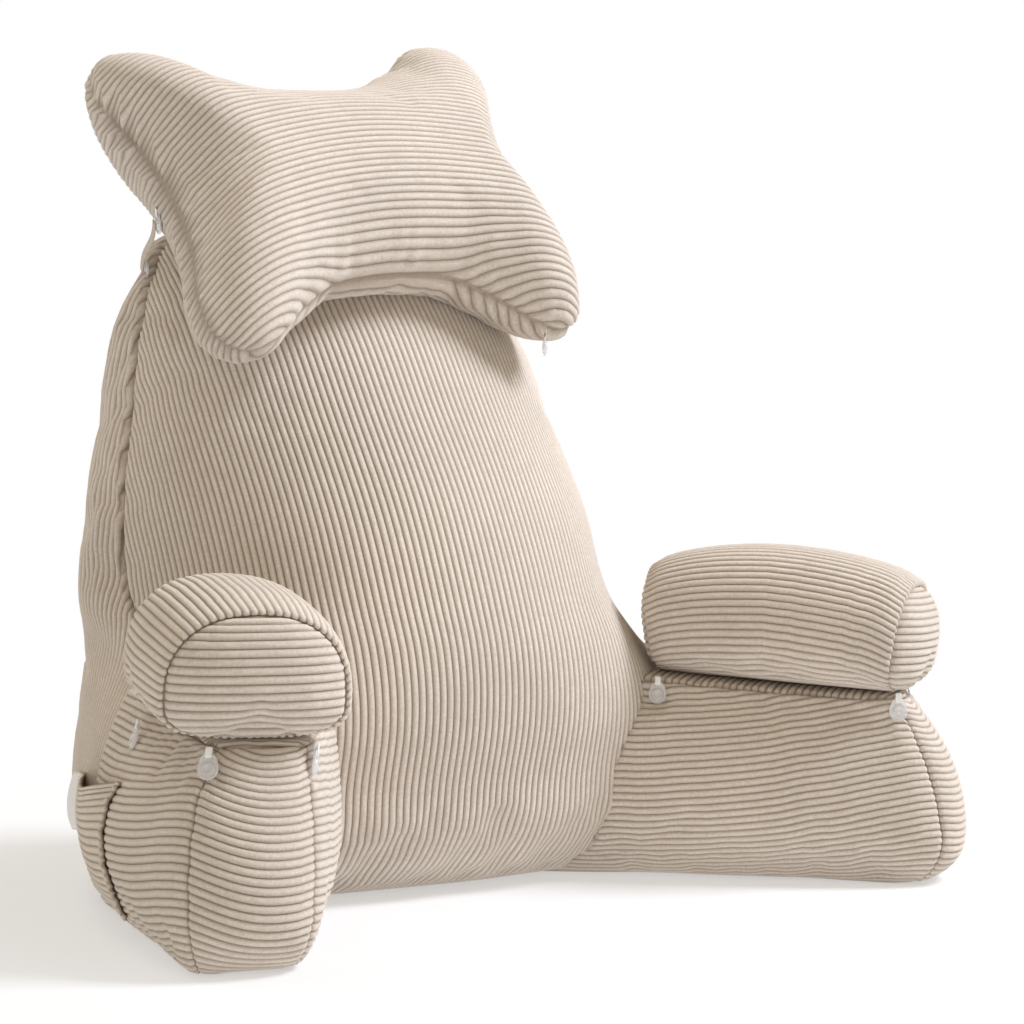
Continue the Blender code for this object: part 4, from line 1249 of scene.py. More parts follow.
def within(tree, point):
    """Whether a point lies inside a form, by how often level rays from it meet the surface."""
    votes = 0
    for way in (Vector((0.37, 0.93, 0.0)), Vector((-0.81, 0.59, 0.0)), Vector((0.44, -0.90, 0.0))):
        at = Vector((point.x, point.y, max(point.z, 0.0001)))
        crossed = 0
        while crossed < 9:
            spot = tree.ray_cast(at, way)[0]
            if spot is None:
                break
            crossed += 1
            at = spot + way * 0.00001
        votes += crossed % 2
    return votes > 1


def clearance(tree, points):
    """Distance of points from a form, negative inside it, and the way out of it."""
    found = np.zeros(len(points))
    ways = np.zeros((len(points), 3))
    for i, point in enumerate(points):
        point = Vector(point)
        spot, normal, _, reach = tree.find_nearest(point)
        way = (point - spot) / reach if reach > 1e-6 else normal
        if within(tree, point):
            reach, way = -reach, -way
        found[i], ways[i] = reach, way
    return found, ways


def pressed_off(tree, points, gap):
    """Push points that would lie inside a neighbour out to just off its surface."""
    distance, ways = clearance(tree, points)
    short = gap - distance
    return points + ways * np.where(short > 0, short, 0.0)[:, None]


SURFACES = {}                    # search trees of the filled forms that later pieces lie on


# ---------------------------------------------------------------- backrest
def foot_rounding(z):
    """How far a soft edge has drawn in by the time it touches the floor."""
    rise = np.clip(z / FOOT_RADIUS, 0.0, 1.0)
    return FOOT_DRAW * FOOT_RADIUS * (1.0 - np.sqrt(1.0 - (1.0 - rise) ** 2))


def drawn_in(plan, start, end, amount):
    """Move plan points by a distance towards a middle line."""
    inward = towards(plan, start, end, 1.0) - plan
    return plan + unit(inward) * np.asarray(amount)[..., None]


def body_panel(which, z, share):
    """Plan points of one backrest panel at heights z and shares of its width."""
    half, seam_y, belly, power, rear_half, rear_y = (
        level(BODY_LEVELS, BODY_COLUMNS, name, z)[:, None] for name in BODY_COLUMNS[1:])
    share = share[None]
    if which == "front":
        across = -np.cos(np.pi * share)
        bow = np.maximum(0.0, 1.0 - np.abs(across) ** 2.1) ** power
        x, y = half * across, seam_y - belly * bow
    elif which == "rear":
        across = np.cos(np.pi * share)
        x, y = rear_half * across, rear_y + BODY_REAR_BULGE * (1 - across ** 4)
    else:
        t = share if which == "right" else 1.0 - share
        heights, bulges = zip(*GUSSET_BULGE)
        bulge = GUSSET_SIDES[which] * np.interp(z, heights, bulges)[:, None]
        x = half + (rear_half - half) * t + bulge * np.sin(np.pi * t)
        x = x if which == "right" else -x
        y = seam_y + (rear_y - seam_y) * t
    plan = np.stack(np.broadcast_arrays(x, y), axis=-1)
    return drawn_in(plan, *BODY_SPINE, np.broadcast_to(foot_rounding(z)[:, None], plan.shape[:2]))


def body_grids():
    """Coarse grids of the backrest's four side panels, foot to top edge."""
    heights = np.concatenate(([0.0, 0.003, 0.008, 0.015], np.linspace(0.025, TOP_LEVEL, 42)))
    ridge_y = float(np.mean([body_panel(w, heights[-1:], np.linspace(0, 1, 9))[..., 1].mean()
                             for w in ("front", "rear")]))
    grids = {}
    for which, count in (("front", 44), ("right", 14), ("rear", 32), ("left", 14)):
        share = np.linspace(0, 1, count + 1)
        plan = body_panel(which, heights, share)
        grid = np.concatenate((plan, np.broadcast_to(heights[:, None, None],
                                                     plan.shape[:2] + (1,))), axis=2)
        extra = []
        for draw in (0.10, 0.24, 0.42, 0.64, 0.88):
            drawn = towards(plan[-1], (-TOP_RIDGE, ridge_y), (TOP_RIDGE, ridge_y), draw)
            tall = TOP_LEVEL + TOP_LIFT * math.sin(0.5 * math.pi * draw ** 0.8)
            extra.append(np.concatenate((drawn, np.full((count + 1, 1), tall)), axis=1))
        grids[which] = np.concatenate((grid, np.array(extra))) - ORIGIN
    return grids


def build_backrest(context):
    """The wedge backrest: front and rear panels and two gussets, sewn along four seams."""
    cloth, filling = context.scene.pillow_cloth, context.scene.pillow_filling
    grids = body_grids()
    order = ("front", "right", "rear", "left")
    pins = []
    for which in order:
        pin = np.zeros(grids[which].shape[:2])
        pin[:, (0, -1)] = 0.85
        pin[:3] = 1.0
        pin[-5:] = 1.0
        pins.append(pin)
    filled = dict(zip(order, fill("backrest", [grids[w] for w in order], pins, filling)))
    SURFACES["body"] = search_tree(list(filled.values()))
    middle = BODY_INSIDE
    spine = filled["front"][:, grids["front"].shape[1] // 2]
    u = rows_along(spine, cloth.row_step, False, False)
    panels = {
        "front": woven(filled["front"], u, middle, cloth.wale_pitch),
        "right": woven(filled["right"], u, middle, cloth.wale_pitch, anchor=1.0,
                       steps=RIB_STEPS_PLAIN),
        "rear": woven(filled["rear"], u, middle, cloth.wale_pitch, steps=RIB_STEPS_PLAIN),
        "left": woven(filled["left"], u, middle, cloth.wale_pitch, anchor=0.0,
                      steps=RIB_STEPS_PLAIN),
    }
    for a, b in (("front", "right"), ("right", "rear"), ("rear", "left"), ("left", "front")):
        sew(panels[a], "right", panels[b], "left")
    dress(panels["front"], cloth, 0.4, left=(2.0, 0.5), right=(2.0, 0.5))
    dress(panels["right"], cloth, 1.9, left=(2.0, 1.3), right=(1.0, 0.4))
    dress(panels["rear"], cloth, 3.1, left=(1.0, 0.4), right=(1.0, 0.4))
    dress(panels["left"], cloth, 4.3, left=(1.0, 0.4), right=(2.0, 1.3))
    for which, side in (("left", "right"), ("right", "left")):
        panel = panels[which]
        raised = lips(panel[side], panel["low"]) * smoothstep((panel["co"][..., 2] - LIP_START) / 0.08)
        panel["co"] = panel["co"] + panel["normal"] * raised[..., None]
    cover = Cover()
    for which in order:
        panel = panels[which]
        panel["fade"] = panel["fade"] * smoothstep(panel["co"][..., 2] / FOOT_FADE)
        cover.lay(panel)
    cover.merge()
    cover.cap()
    cover.co[:, 2] = np.maximum(cover.co[:, 2], 0.0)
    return corduroy_piece("Backrest", cover, context, ["back_body"])


# ---------------------------------------------------------------- arms
def side_point(side, point):
    """A plan point given for the right-hand side, on the side asked for."""
    return np.array((-point[0] if side == "left" else point[0], point[1]))


def arm_corners(side, share):
    """Plan corners of an arm at a share of its height: join, inner, outer and flank."""
    join = side_point(side, ARM_JOIN)
    inner = side_point(side, ARM_INNER[side])
    outer = side_point(side, ARM_OUTER[side])
    flank = side_point(side, ARM_FLANK)
    setback = ARM_FRONT_LEAN * share ** 2 * unit(inner - join)
    return join, inner - setback, outer - setback, flank + (join - flank) * 0.10 * share


def bowed(start, end, steps, bow, ends=0.7):
    """Points from start to end, swollen to the right of their direction."""
    run = end - start
    right = np.array((run[1], -run[0])) / np.linalg.norm(run)
    t = np.linspace(0, 1, steps + 1)[:, None]
    return start + run * t + right * bow * np.sin(np.pi * t).clip(0) ** ends


def softened(lines, spread):
    """Plan lines that join into a loop, with the corners between them rounded."""
    ring = np.concatenate([line[:-1] for line in lines])
    closed = np.concatenate((ring, ring[:1]))
    arc = arc_length(closed)
    count = 600
    even = np.linspace(0, arc[-1], count, endpoint=False)
    dense = between(even, arc, closed)
    spread = spread * count / arc[-1]
    reach = int(math.ceil(3 * spread))
    weight = np.exp(-0.5 * (np.arange(-reach, reach + 1) / spread) ** 2)
    dense = sum(w * np.roll(dense, -k, axis=0)
                for k, w in zip(range(-reach, reach + 1), weight / weight.sum()))
    dense = np.concatenate((dense, dense[:1]))
    even = np.append(even, arc[-1])
    ring = between(arc, even, dense)
    ends = np.concatenate(([0], np.cumsum([len(line) - 1 for line in lines])))
    return [ring[a:b + 1] for a, b in zip(ends, ends[1:])]


def arm_sides(side, share):
    """Plan lines of an arm's four sides at a share of its height."""
    join, inner, outer, flank = arm_corners(side, share)
    swell_inner, swell_outer, swell_front = (
        float(level(ARM_LEVELS, ARM_COLUMNS, name, share)) for name in ARM_COLUMNS[1:])
    turn = -1.0 if side == "right" else 1.0
    wider = ARM_NOSE[side] * math.sin(math.pi * share ** 0.8) * unit(outer - inner)
    inner, outer = inner - wider, outer + wider
    under = ARM_TOP_DRAW[side] * share ** 6
    outer, flank = outer + under * unit(inner - outer), flank + under * unit(join - flank)
    middle = 0.25 * (join + inner + outer + flank)
    back_inner = join - ARM_ROOT * (inner - join)
    back_outer = flank - ARM_ROOT * (outer - flank) * 0.9
    lines = {
        "inner": bowed(back_inner, inner, 28, -turn * swell_inner * ARM_FILL[side]),
        "front": bowed(inner, outer, 10, -turn * swell_front),
        "outer": bowed(outer, back_outer, 28, -turn * swell_outer),
        "root": bowed(back_outer, back_inner, 10, 0.0),
    }
    amount = foot_rounding(share * ARM_HEIGHT)
    less = {"inner": (1.0, 1.0), "front": (1.0, ARM_OUTER_FOOT),
            "outer": (ARM_OUTER_FOOT, ARM_OUTER_FOOT), "root": (ARM_OUTER_FOOT, 1.0)}
    drawn = [drawn_in(line, 0.6 * join + 0.4 * flank, middle,
                      amount * np.linspace(*less[name], len(line)))
             for name, line in lines.items()]
    return dict(zip(lines, softened(drawn, ARM_CORNER)))


def arm_height(side, points):
    """Height of an arm's top seam at plan points, rising towards the backrest."""
    join, inner, _, _ = arm_corners(side, 1.0)
    forward = inner - join
    behind = 1.0 - ((np.asarray(points) - join) @ forward) / (forward @ forward)
    return ARM_HEIGHT + ARM_RISE * np.clip(behind, 0, 2) ** 1.5


def arm_middle(side):
    """Middle line of an arm's top, from its root to its nose."""
    join, inner, outer, flank = arm_corners(side, 1.0)
    return 0.5 * (join + flank), 0.5 * (inner + outer)


def arm_grids(side):
    """Coarse grids of an arm: its four sides, rows round it, and its top, middle line outward."""
    shares = np.array((0.0, 0.02, 0.06, 0.12, 0.19, 0.27, 0.35, 0.43, 0.51, 0.59, 0.67, 0.75, 0.83,
                       0.91, 0.96, 1.0))
    sides = {name: [] for name in ARM_SIDES}
    for share in shares:
        for name, line in arm_sides(side, share).items():
            tall = share * arm_height(side, line)
            sides[name].append(np.concatenate((line, tall[:, None]), axis=1))
    grids = {name: np.array(lines).transpose(1, 0, 2) for name, lines in sides.items()}
    plan = np.concatenate([grids[name][:-1, -1, :2] for name in ARM_SIDES])
    plan = np.concatenate((plan, plan[:1]))
    root, nose = arm_middle(side)
    start = root - 0.25 * (nose - root)
    end = nose - 0.14 * (nose - root)
    top = []
    for draw in (1.0, 0.85, 0.7, 0.55, 0.42, 0.3, 0.2, 0.12, 0.05, 0.0):
        drawn = towards(plan, start, end, draw)
        tall = arm_height(side, drawn) + CROWN * float(arm_rise(draw))
        top.append(np.concatenate((drawn, tall[:, None]), axis=1))
    return grids, np.array(top), plan, start, end


def arm_rise(draw):
    """Share of an arm's crown that is reached at a share of the way in from its top seam."""
    return np.interp(draw, (0.0, 0.08, 0.16, 0.30, 0.45, 0.75, 1.0),
                     (0.0, 0.24, 0.42, 0.68, 0.85, 1.0, 1.0))


def build_arm(side, context):
    """A lower arm: three side panels with level ribs and a top panel with crosswise ones."""
    cloth, filling = context.scene.pillow_cloth, context.scene.pillow_filling
    sides, top, plan, start, end = arm_grids(side)
    grids = [sides[name] - ORIGIN for name in ARM_SIDES] + [top - ORIGIN]
    pins = []
    for grid in grids[:4]:
        pin = np.zeros(grid.shape[:2])
        pin[(0, -1), :] = 0.6
        pin[:, (0, 1, -1)] = 1.0
        pins.append(pin)
    pins[3][:] = 1.0
    pins.append(np.ones(grids[4].shape[:2]))
    grids = fill("arm_" + side, grids, pins, filling, 0.8)
    SURFACES["arm_" + side] = search_tree(grids[:3])
    sides = dict(zip(ARM_SIDES, grids[:4]))
    top = grids[4]
    middle = np.concatenate([g.reshape(-1, 3) for g in grids[:4]]).mean(axis=0)
    panels = {}
    root_at, nose_at = (point - ORIGIN[:2] for point in arm_middle(side))
    ahead = unit(nose_at - root_at)
    for name in ARM_SIDES:
        line = sides[name][:, sides[name].shape[1] // 2]
        step = cloth.row_step * (1.0 if name != "root" else 2.5)
        u = rows_along(line, step, name != "root", name != "root")
        place = sampled(sides[name], u, np.full(len(u), 8.0))[:, :2]
        behind = (nose_at - place) @ ahead + 0.03
        shift = 0.2 + ARM_RIB_SLANT * np.maximum(behind, 0.0) / cloth.wale_pitch
        panels[name] = woven(sides[name], u, middle, cloth.wale_pitch, anchor=0.0, shift=shift,
                             span=(0.0, 46.0))
    for a, b in (("inner", "front"), ("front", "outer"), ("outer", "root"), ("root", "inner")):
        sew(panels[a], "high", panels[b], "low")
    ways = np.concatenate([panels[n]["normal"][:-1, -1] for n in ARM_SIDES])
    ways = unit(ways * (1, 1, 0) + np.array((0.0, 0.0, 1.0)))
    edge = np.concatenate([panels[n]["co"][:-1, -1] for n in ARM_SIDES])
    for name, panel in panels.items():
        own = unit(panel["normal"][:, -1] * (1, 1, 0) + np.array((0.0, 0.0, 1.0)))
        panel["normal"] = turned(panel["normal"], own[:, None], panel["right"])
        seam = (0.8, 0.35) if name != "root" else None
        dress(panel, cloth, {"left": 0.7, "right": 5.2}[side] + len(name), low=seam, high=seam,
              right=(0.8, 0.8))
        panel["fade"] = panel["fade"] * smoothstep(panel["co"][..., 2] / FOOT_FADE)
    cover = Cover()
    numbers = {name: cover.lay(panels[name]) for name in ARM_SIDES}
    ring = np.concatenate([numbers[name][:-1, -1] for name in ARM_SIDES])
    outline = plan[:-1] - ORIGIN[:2]
    places = seam_places(outline, edge[:, :2])
    sort = np.argsort(places)
    wrapped = np.concatenate((places[sort][-1:] - 1, places[sort], places[sort][:1] + 1))
    lines = np.concatenate((ways[sort][-1:], ways[sort], ways[sort][:1]))
    forward = unit(end - start)
    turn = np.array(((forward[0], forward[1]), (-forward[1], forward[0])))
    panel = inset_panel(top, smooth_loop(outline, 3) @ turn.T, (start - ORIGIN[:2]) @ turn.T,
                        (end - ORIGIN[:2]) @ turn.T, lambda share: CROWN * arm_rise(1 - share),
                        cloth, middle, seam_direction(wrapped, lines), cloth.row_step,
                        cloth.wale_pitch, 2.2, ribs_along=1)
    rim, at = rim_of(panel)
    shift = cover.add(panel["co"], panel["wale"], panel["fade"], panel["faces"])[0]
    cover.faces += zip_loops([int(n) for n in ring], places, [int(shift + i) for i in rim], at)
    cover.merge()
    cover.cap()
    cover.co[:, 2] = np.maximum(cover.co[:, 2], 0.0)
    cover.co = recessed(cover.co, middle)
    trim_to_body(cover)
    return corduroy_piece("Arm_" + side, cover, context, ["arm_" + side])


def recessed(points, middle):
    """Press an arm's cover in where snap tabs lie on it."""
    points = points.copy()
    for name in sorted(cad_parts):
        if not name.startswith("clip_"):
            continue
        centre, facing, _, _, _, _, deep = tab_frame(name)
        outward = facing if facing @ (centre - middle) > 0 else -facing
        flat = points - centre
        depth = flat @ outward
        away = np.linalg.norm(flat - depth[:, None] * outward, axis=1)
        over = depth + deep + 0.0020 - 0.010 * smoothstep((away - 0.010) / 0.012)
        press = np.where((away < 0.022) & (np.abs(depth) < 0.02), np.maximum(over, 0.0), 0.0)
        points -= press[:, None] * outward
    return points


def seam_places(outline, points):
    """Where points lie along a closed outline, from 0 to 1."""
    a = outline[None]
    edge = np.roll(outline, -1, axis=0)[None] - a
    gap = points[:, None] - a
    t = np.clip((gap * edge).sum(axis=2) / np.maximum((edge ** 2).sum(axis=2), 1e-12), 0, 1)
    off = np.linalg.norm(gap - t[..., None] * edge, axis=2)
    best = off.argmin(axis=1)
    pick = np.arange(len(points))
    return ((best + t[pick, best]) / len(outline)) % 1.0


def trim_to_body(cover, gap=0.0006):
    """Cut off what would lie inside the backrest and close the cut."""
    near, _ = clearance(SURFACES["body"], cover.co)
    extra = np.stack((cover.wale, cover.fade), axis=1)
    co, extra, faces = cut(cover.co, extra, cover.faces, near - gap)
    cover.co, cover.wale, cover.fade, cover.faces = co, extra[:, 0], extra[:, 1], faces
    cover.merge()
    cover.cap()


# ---------------------------------------------------------------- arm pads
def pad_frame(side):
    """Front middle of a pad in plan, with its directions forwards and outwards."""
    root, nose = arm_middle(side)
    forward = unit(nose - root)
    turn = math.radians(PAD_TURN[side]) * (1.0 if side == "left" else -1.0)
    spun = np.array((forward[0] * math.cos(turn) - forward[1] * math.sin(turn),
                     forward[0] * math.sin(turn) + forward[1] * math.cos(turn)))
    outward = np.array((spun[1], -spun[0])) * (1.0 if side == "left" else -1.0)
    return nose + PAD_NOSE * forward + PAD_SHIFT[side] * outward, spun, outward


def pad_section(side, share, low):
    """D-shaped cross section of a pad: (sideways, up) for a closed loop from its outer waist."""
    half, tall = 0.5 * PAD_WIDTH[side] * share, PAD_HEIGHT[side] * share * low
    waist = PAD_WAIST * PAD_HEIGHT[side]
    angle = 2 * np.pi * np.arange(PAD_STEPS + 1) / PAD_STEPS
    c, s = np.cos(angle), np.sin(angle)
    across = np.sign(c) * np.abs(c) ** np.where(s > 0, 0.85, 0.7) * half
    up = np.where(s > 0, np.abs(s) ** 0.85 * (tall - waist),
                  -np.abs(s) ** 0.6 * waist * min(1.0, share))
    across[-1], up[-1] = across[0], up[0]
    return np.stack((across, waist + up), axis=1)


def pad_grids(side):
    """Coarse grids of a pad: its barrel, rows front to rear, and its two end panels."""
    front, forward, outward = pad_frame(side)
    length = PAD_LENGTH[side]
    start = front - length * forward
    low = float(arm_height(side, front)) + CROWN + PAD_LIFT
    high = float(arm_height(side, start)) + CROWN + PAD_LIFT
    tall = PAD_HEIGHT[side]

    def placed(along, section):
        lean = PAD_SHEAR * (2 * np.clip(along / length, 0, 1) - 1) * (section[:, 1:] - 0.5 * tall)
        plan = start + (along + lean) * forward + section[:, :1] * outward
        base = high + (low - high) * along / length
        return np.concatenate((plan, base + section[:, 1:]), axis=1)

    barrel = []
    for t in 0.5 + 0.5 * np.cos(np.linspace(0, np.pi, 20)):
        full = math.sin(math.pi * t) ** 0.5 if 0 < t < 1 else 0.0
        share = PAD_END_SIZE + (1.0 + PAD_SWELL - PAD_END_SIZE) * full
        lowered = PAD_END_LOW[side] + (1.0 - PAD_END_LOW[side]) * full
        barrel.append(placed(length * t, pad_section(side, share, lowered)))
    ends = []
    shares = np.linspace(0, 1, 9)
    for end, sign, bulge in ((length, 1.0, PAD_END[0]), (0.0, -1.0, PAD_END[1])):
        rows = []
        for share in shares:
            section = pad_section(side, PAD_END_SIZE, PAD_END_LOW[side])
            centre = np.array((0.0, PAD_WAIST * PAD_HEIGHT[side]))
            drawn = centre + (section - centre) * share
            rows.append(placed(end + sign * float(pad_end_rise(bulge, share)), drawn))
        ends.append(np.array(rows))
    return np.array(barrel), ends


def pad_end_rise(bulge, share):
    """How far a pad's end panel stands out at a share of the way to its seam."""
    return bulge * (1.0 - np.asarray(share) ** 3.5)


def build_pad(side, context):
    """A bolster pad: a barrel with lengthwise ribs and two D-shaped end panels."""
    cloth, filling = context.scene.pillow_cloth, context.scene.pillow_filling
    barrel, ends = pad_grids(side)
    grids = [barrel - ORIGIN] + [end - ORIGIN for end in ends]
    pins = [np.zeros(g.shape[:2]) for g in grids]
    pins[0][(0, -1), :] = 1.0
    pins[0][:, 28:39] = 0.9
    pins[1][-1] = pins[2][-1] = 1.0
    grids = fill("pad_" + side, grids, pins, filling, 0.9)
    barrel, front_end, rear_end = grids
    middle = barrel.reshape(-1, 3).mean(axis=0)
    forward = pad_frame(side)[1]
    u = rows_along(barrel[:, 11], cloth.row_step)
    around = np.linalg.norm(np.diff(barrel, axis=1), axis=2).sum(axis=1).mean()
    panel = woven(barrel, u, middle, count=int(round(around / cloth.wale_pitch)), loop=True)
    axis = np.array((forward[0], forward[1], 0.0))
    for border, sign in ((0, 1.0), (-1, -1.0)):
        own = unit(panel["normal"][border] + sign * axis)
        distance = panel["low" if border == 0 else "high"]
        panel["normal"] = turned(panel["normal"], own[None], distance)
    seed = {"left": 0.9, "right": 2.6}[side]
    dress(panel, cloth, seed, low=(0.9, 0.7), high=(0.9, 0.8))
    cover = Cover()
    numbers = cover.lay(panel)
    section = pad_section(side, PAD_END_SIZE, PAD_END_LOW[side])[:-1]
    outline = smooth_loop(section, 3)
    centre = (0.0, PAD_WAIST * PAD_HEIGHT[side])
    for end, border, sign, bulge in ((front_end, 0, 1.0, PAD_END[0]),
                                     (rear_end, -1, -1.0, PAD_END[1])):
        places = panel["v"][border] / (barrel.shape[1] - 1)
        seam_way = seam_direction(places, panel["normal"][border])
        made = inset_panel(end, outline, centre, centre, lambda share: pad_end_rise(bulge, share),
                           cloth, middle, seam_way, 0.5 * cloth.row_step, cloth.wale_pitch,
                           seed + sign, tucks=0.5, even=0.02, depth=0.9)
        rim, at = rim_of(made)
        shift = cover.add(made["co"], made["wale"], made["fade"], made["faces"])[0]
        ring = [int(n) for n in numbers[border][:-1]]
        cover.faces += zip_loops(ring, places[:-1], [int(shift + i) for i in rim], at)
    cover.merge()
    cover.cap()
    cover.co = pressed_off(SURFACES["body"], cover.co, BODY_GAP)
    return corduroy_piece("Pad_" + side, cover, context, ["pad_" + side])


# ---------------------------------------------------------------- head pillow
def head_place(a, b, depth):
    """Place points of the head pillow's own plane over the top of the backrest."""
    lean, roll = math.radians(HEAD_LEAN), math.radians(HEAD_ROLL)
    a, b = a * math.cos(roll) - b * math.sin(roll), a * math.sin(roll) + b * math.cos(roll)
    normal = np.array((0.0, -math.cos(lean), math.sin(lean)))
    up = np.array((0.0, math.sin(lean), math.cos(lean)))
    sag = -HEAD_WRAP * a * a
    return (np.array(HEAD_CENTRE) + a[..., None] * np.array((1.0, 0.0, 0.0)) + b[..., None] * up
            + (depth + sag)[..., None] * normal - ORIGIN)


def head_rise(share):
    """Half thickness of the head pillow at a share of the way out to its seam."""
    draws, thick = zip(*HEAD_PROFILE)
    return 0.5 * HEAD_THICKNESS * np.interp(1.0 - np.asarray(share, float), draws, thick)


def head_outline():
    """The head pillow's seam line in its own plane."""
    half = [(a, b) for a, b, _, _ in HEAD_OUTLINE]
    other = [(-a, b) for _, _, a, b in reversed(HEAD_OUTLINE[1:])]
    line = smooth_loop(half + other, 6)
    return spoked(line, (-HEAD_SPINE, 0.0), (HEAD_SPINE, 0.0), 20, 36)


def build_head_pillow(context):
    """The butterfly head pillow, its ribs running from side to side."""
    cloth, filling = context.scene.pillow_cloth, context.scene.pillow_filling
    outline = head_outline()
    ring = np.concatenate((outline, outline[:1]))
    start, end = (-HEAD_SPINE, 0.0), (HEAD_SPINE, 0.0)
    shares = 1.0 - np.array((1.0, 0.86, 0.72, 0.58, 0.46, 0.36, 0.27, 0.19, 0.12, 0.07, 0.03, 0.0))
    grids = []
    for sign in (1.0, -1.0):
        rows = []
        for share in shares:
            drawn = towards(ring, start, end, 1.0 - share)
            rows.append(head_place(drawn[:, 0], drawn[:, 1],
                                   np.full(len(drawn), sign * float(head_rise(share)))))
        grids.append(np.array(rows))
    pins = [np.zeros(g.shape[:2]) for g in grids]
    pins[0][-1] = pins[1][-1] = 1.0
    pins[1][:-3] = 0.8
    grids = fill("head_pillow", grids, pins, filling, 1.2)
    lookup = np.interp(np.linspace(0, 1, 48), shares, np.arange(len(shares)))
    even = [sampled(g, lookup[:, None], np.arange(g.shape[1])[None].astype(float), True)
            for g in grids]
    middle = even[1].reshape(-1, 3).mean(axis=0) * 0.5 + even[0].reshape(-1, 3).mean(axis=0) * 0.5
    dense = smooth_loop(outline, 2)
    radial = even[0][-1] - 0.5 * (even[0][-6] + even[1][-6])
    seam_way = seam_direction(np.linspace(0, 1, len(radial)), unit(radial))
    cover = Cover()
    borders = []
    for grid, seed, steps, shift_on in ((even[0], 0.8, RIB_STEPS, 0.0),
                                        (even[1], 3.3, RIB_STEPS_PLAIN, 0.5 * cloth.wale_pitch)):
        made = inset_panel(grid, dense, start, end, head_rise, cloth, middle, seam_way,
                           cloth.row_step * 0.55, cloth.wale_pitch, seed, steps=steps, tucks=1.1,
                           home=lambda a: shift_on - np.where(a < 0, *HEAD_ARCH) * a * a,
                           even=HEAD_EVEN, depth=1.6, steep=HEAD_STEEP, fall_limit=1.3)
        rim, place = rim_of(made)
        shift = cover.add(made["co"], made["wale"], made["fade"], made["faces"])[0]
        borders.append(([int(shift + i) for i in rim], place))
    cover.faces += zip_loops(*borders[0], *borders[1])
    cover.merge()
    cover.cap()
    cover.co = pressed_off(SURFACES["body"], cover.co, BODY_GAP)
    return corduroy_piece("Head_pillow", cover, context, ["head_pillow"])


# ---------------------------------------------------------------- pocket, label and strap
def node_points(name):
    """Points of a CAD node as an array."""
    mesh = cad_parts[name].data
    points = np.zeros(len(mesh.vertices) * 3)
    mesh.vertices.foreach_get("co", points)
    return points.reshape(-1, 3)


def bridged(depths, passes=60):
    """Pull the hollows of a row of depths out until the row spans them, as taut cloth does."""
    depths = np.array(depths)
    for _ in range(passes):
        depths[1:-1] = np.minimum(depths[1:-1], 0.5 * (depths[:-2] + depths[2:]))
    return depths


def pocket_grid(columns=40, rows=20):
    """Coarse grid of the pocket: rows along its mouth, front to back, columns foot to mouth."""
    trees = (SURFACES["body"], SURFACES["arm_left"])
    inward = Vector((1.0, 0.12, 0.0)).normalized()
    grid = np.zeros((columns + 1, rows + 1, 3))
    for j in range(rows + 1):
        v = j / rows
        starts, depths = [], []
        for i in range(columns + 1):
            u = i / columns
            bow = POCKET_BOW * math.sin(math.pi * min(1.0, 1.25 * (1 - v)) ** 0.8) * (1 - u)
            rake = (POCKET_RAKE[0] * (1 - u) + POCKET_RAKE[1] * u) * (1 - v)
            y = POCKET_TOP[0] * (1 - u) + POCKET_TOP[1] * u + rake + bow
            mouth = POCKET_MOUTH[0] * (1 - u) + POCKET_MOUTH[1] * u
            z = POCKET_FOOT + (mouth - POCKET_FOOT) * v - POCKET_SAG * math.sin(math.pi * u) ** 2 * v
            start = Vector((-0.6, y, z)) - Vector(ORIGIN)
            hits = [tree.ray_cast(start, inward)[3] for tree in trees]
            starts.append(start)
            depths.append(min(hit for hit in hits if hit is not None))
        for i, (start, depth) in enumerate(zip(starts, bridged(depths, 300))):
            u = i / columns
            hold = min(1.0, 5.0 * u, 5.0 * (1 - u))
            stand = POCKET_GAPE * hold * v * math.sin(math.pi * u ** 0.75) ** 1.2
            grid[i, j] = start + inward * (depth - POCKET_STAND - stand)
    return grid


def thickened(cover, panel, thick):
    """Lay a woven panel with a smooth inner side and closed edges."""
    outer = cover.lay(panel)
    rows, cols = outer.shape
    faces = [face[::-1] for face in grid_faces(rows, cols)]
    inner = cover.add(panel["co"] - thick * panel["normal"], 0.0, 0.0, faces).reshape(rows, cols)
    for a, b in ((outer[0], inner[0]), (inner[-1], outer[-1]), (inner[:, 0], outer[:, 0]),
                 (outer[:, -1], inner[:, -1])):
        cover.faces += [(int(a[i]), int(b[i]), int(b[i + 1]), int(a[i + 1]))
                        for i in range(len(a) - 1)]


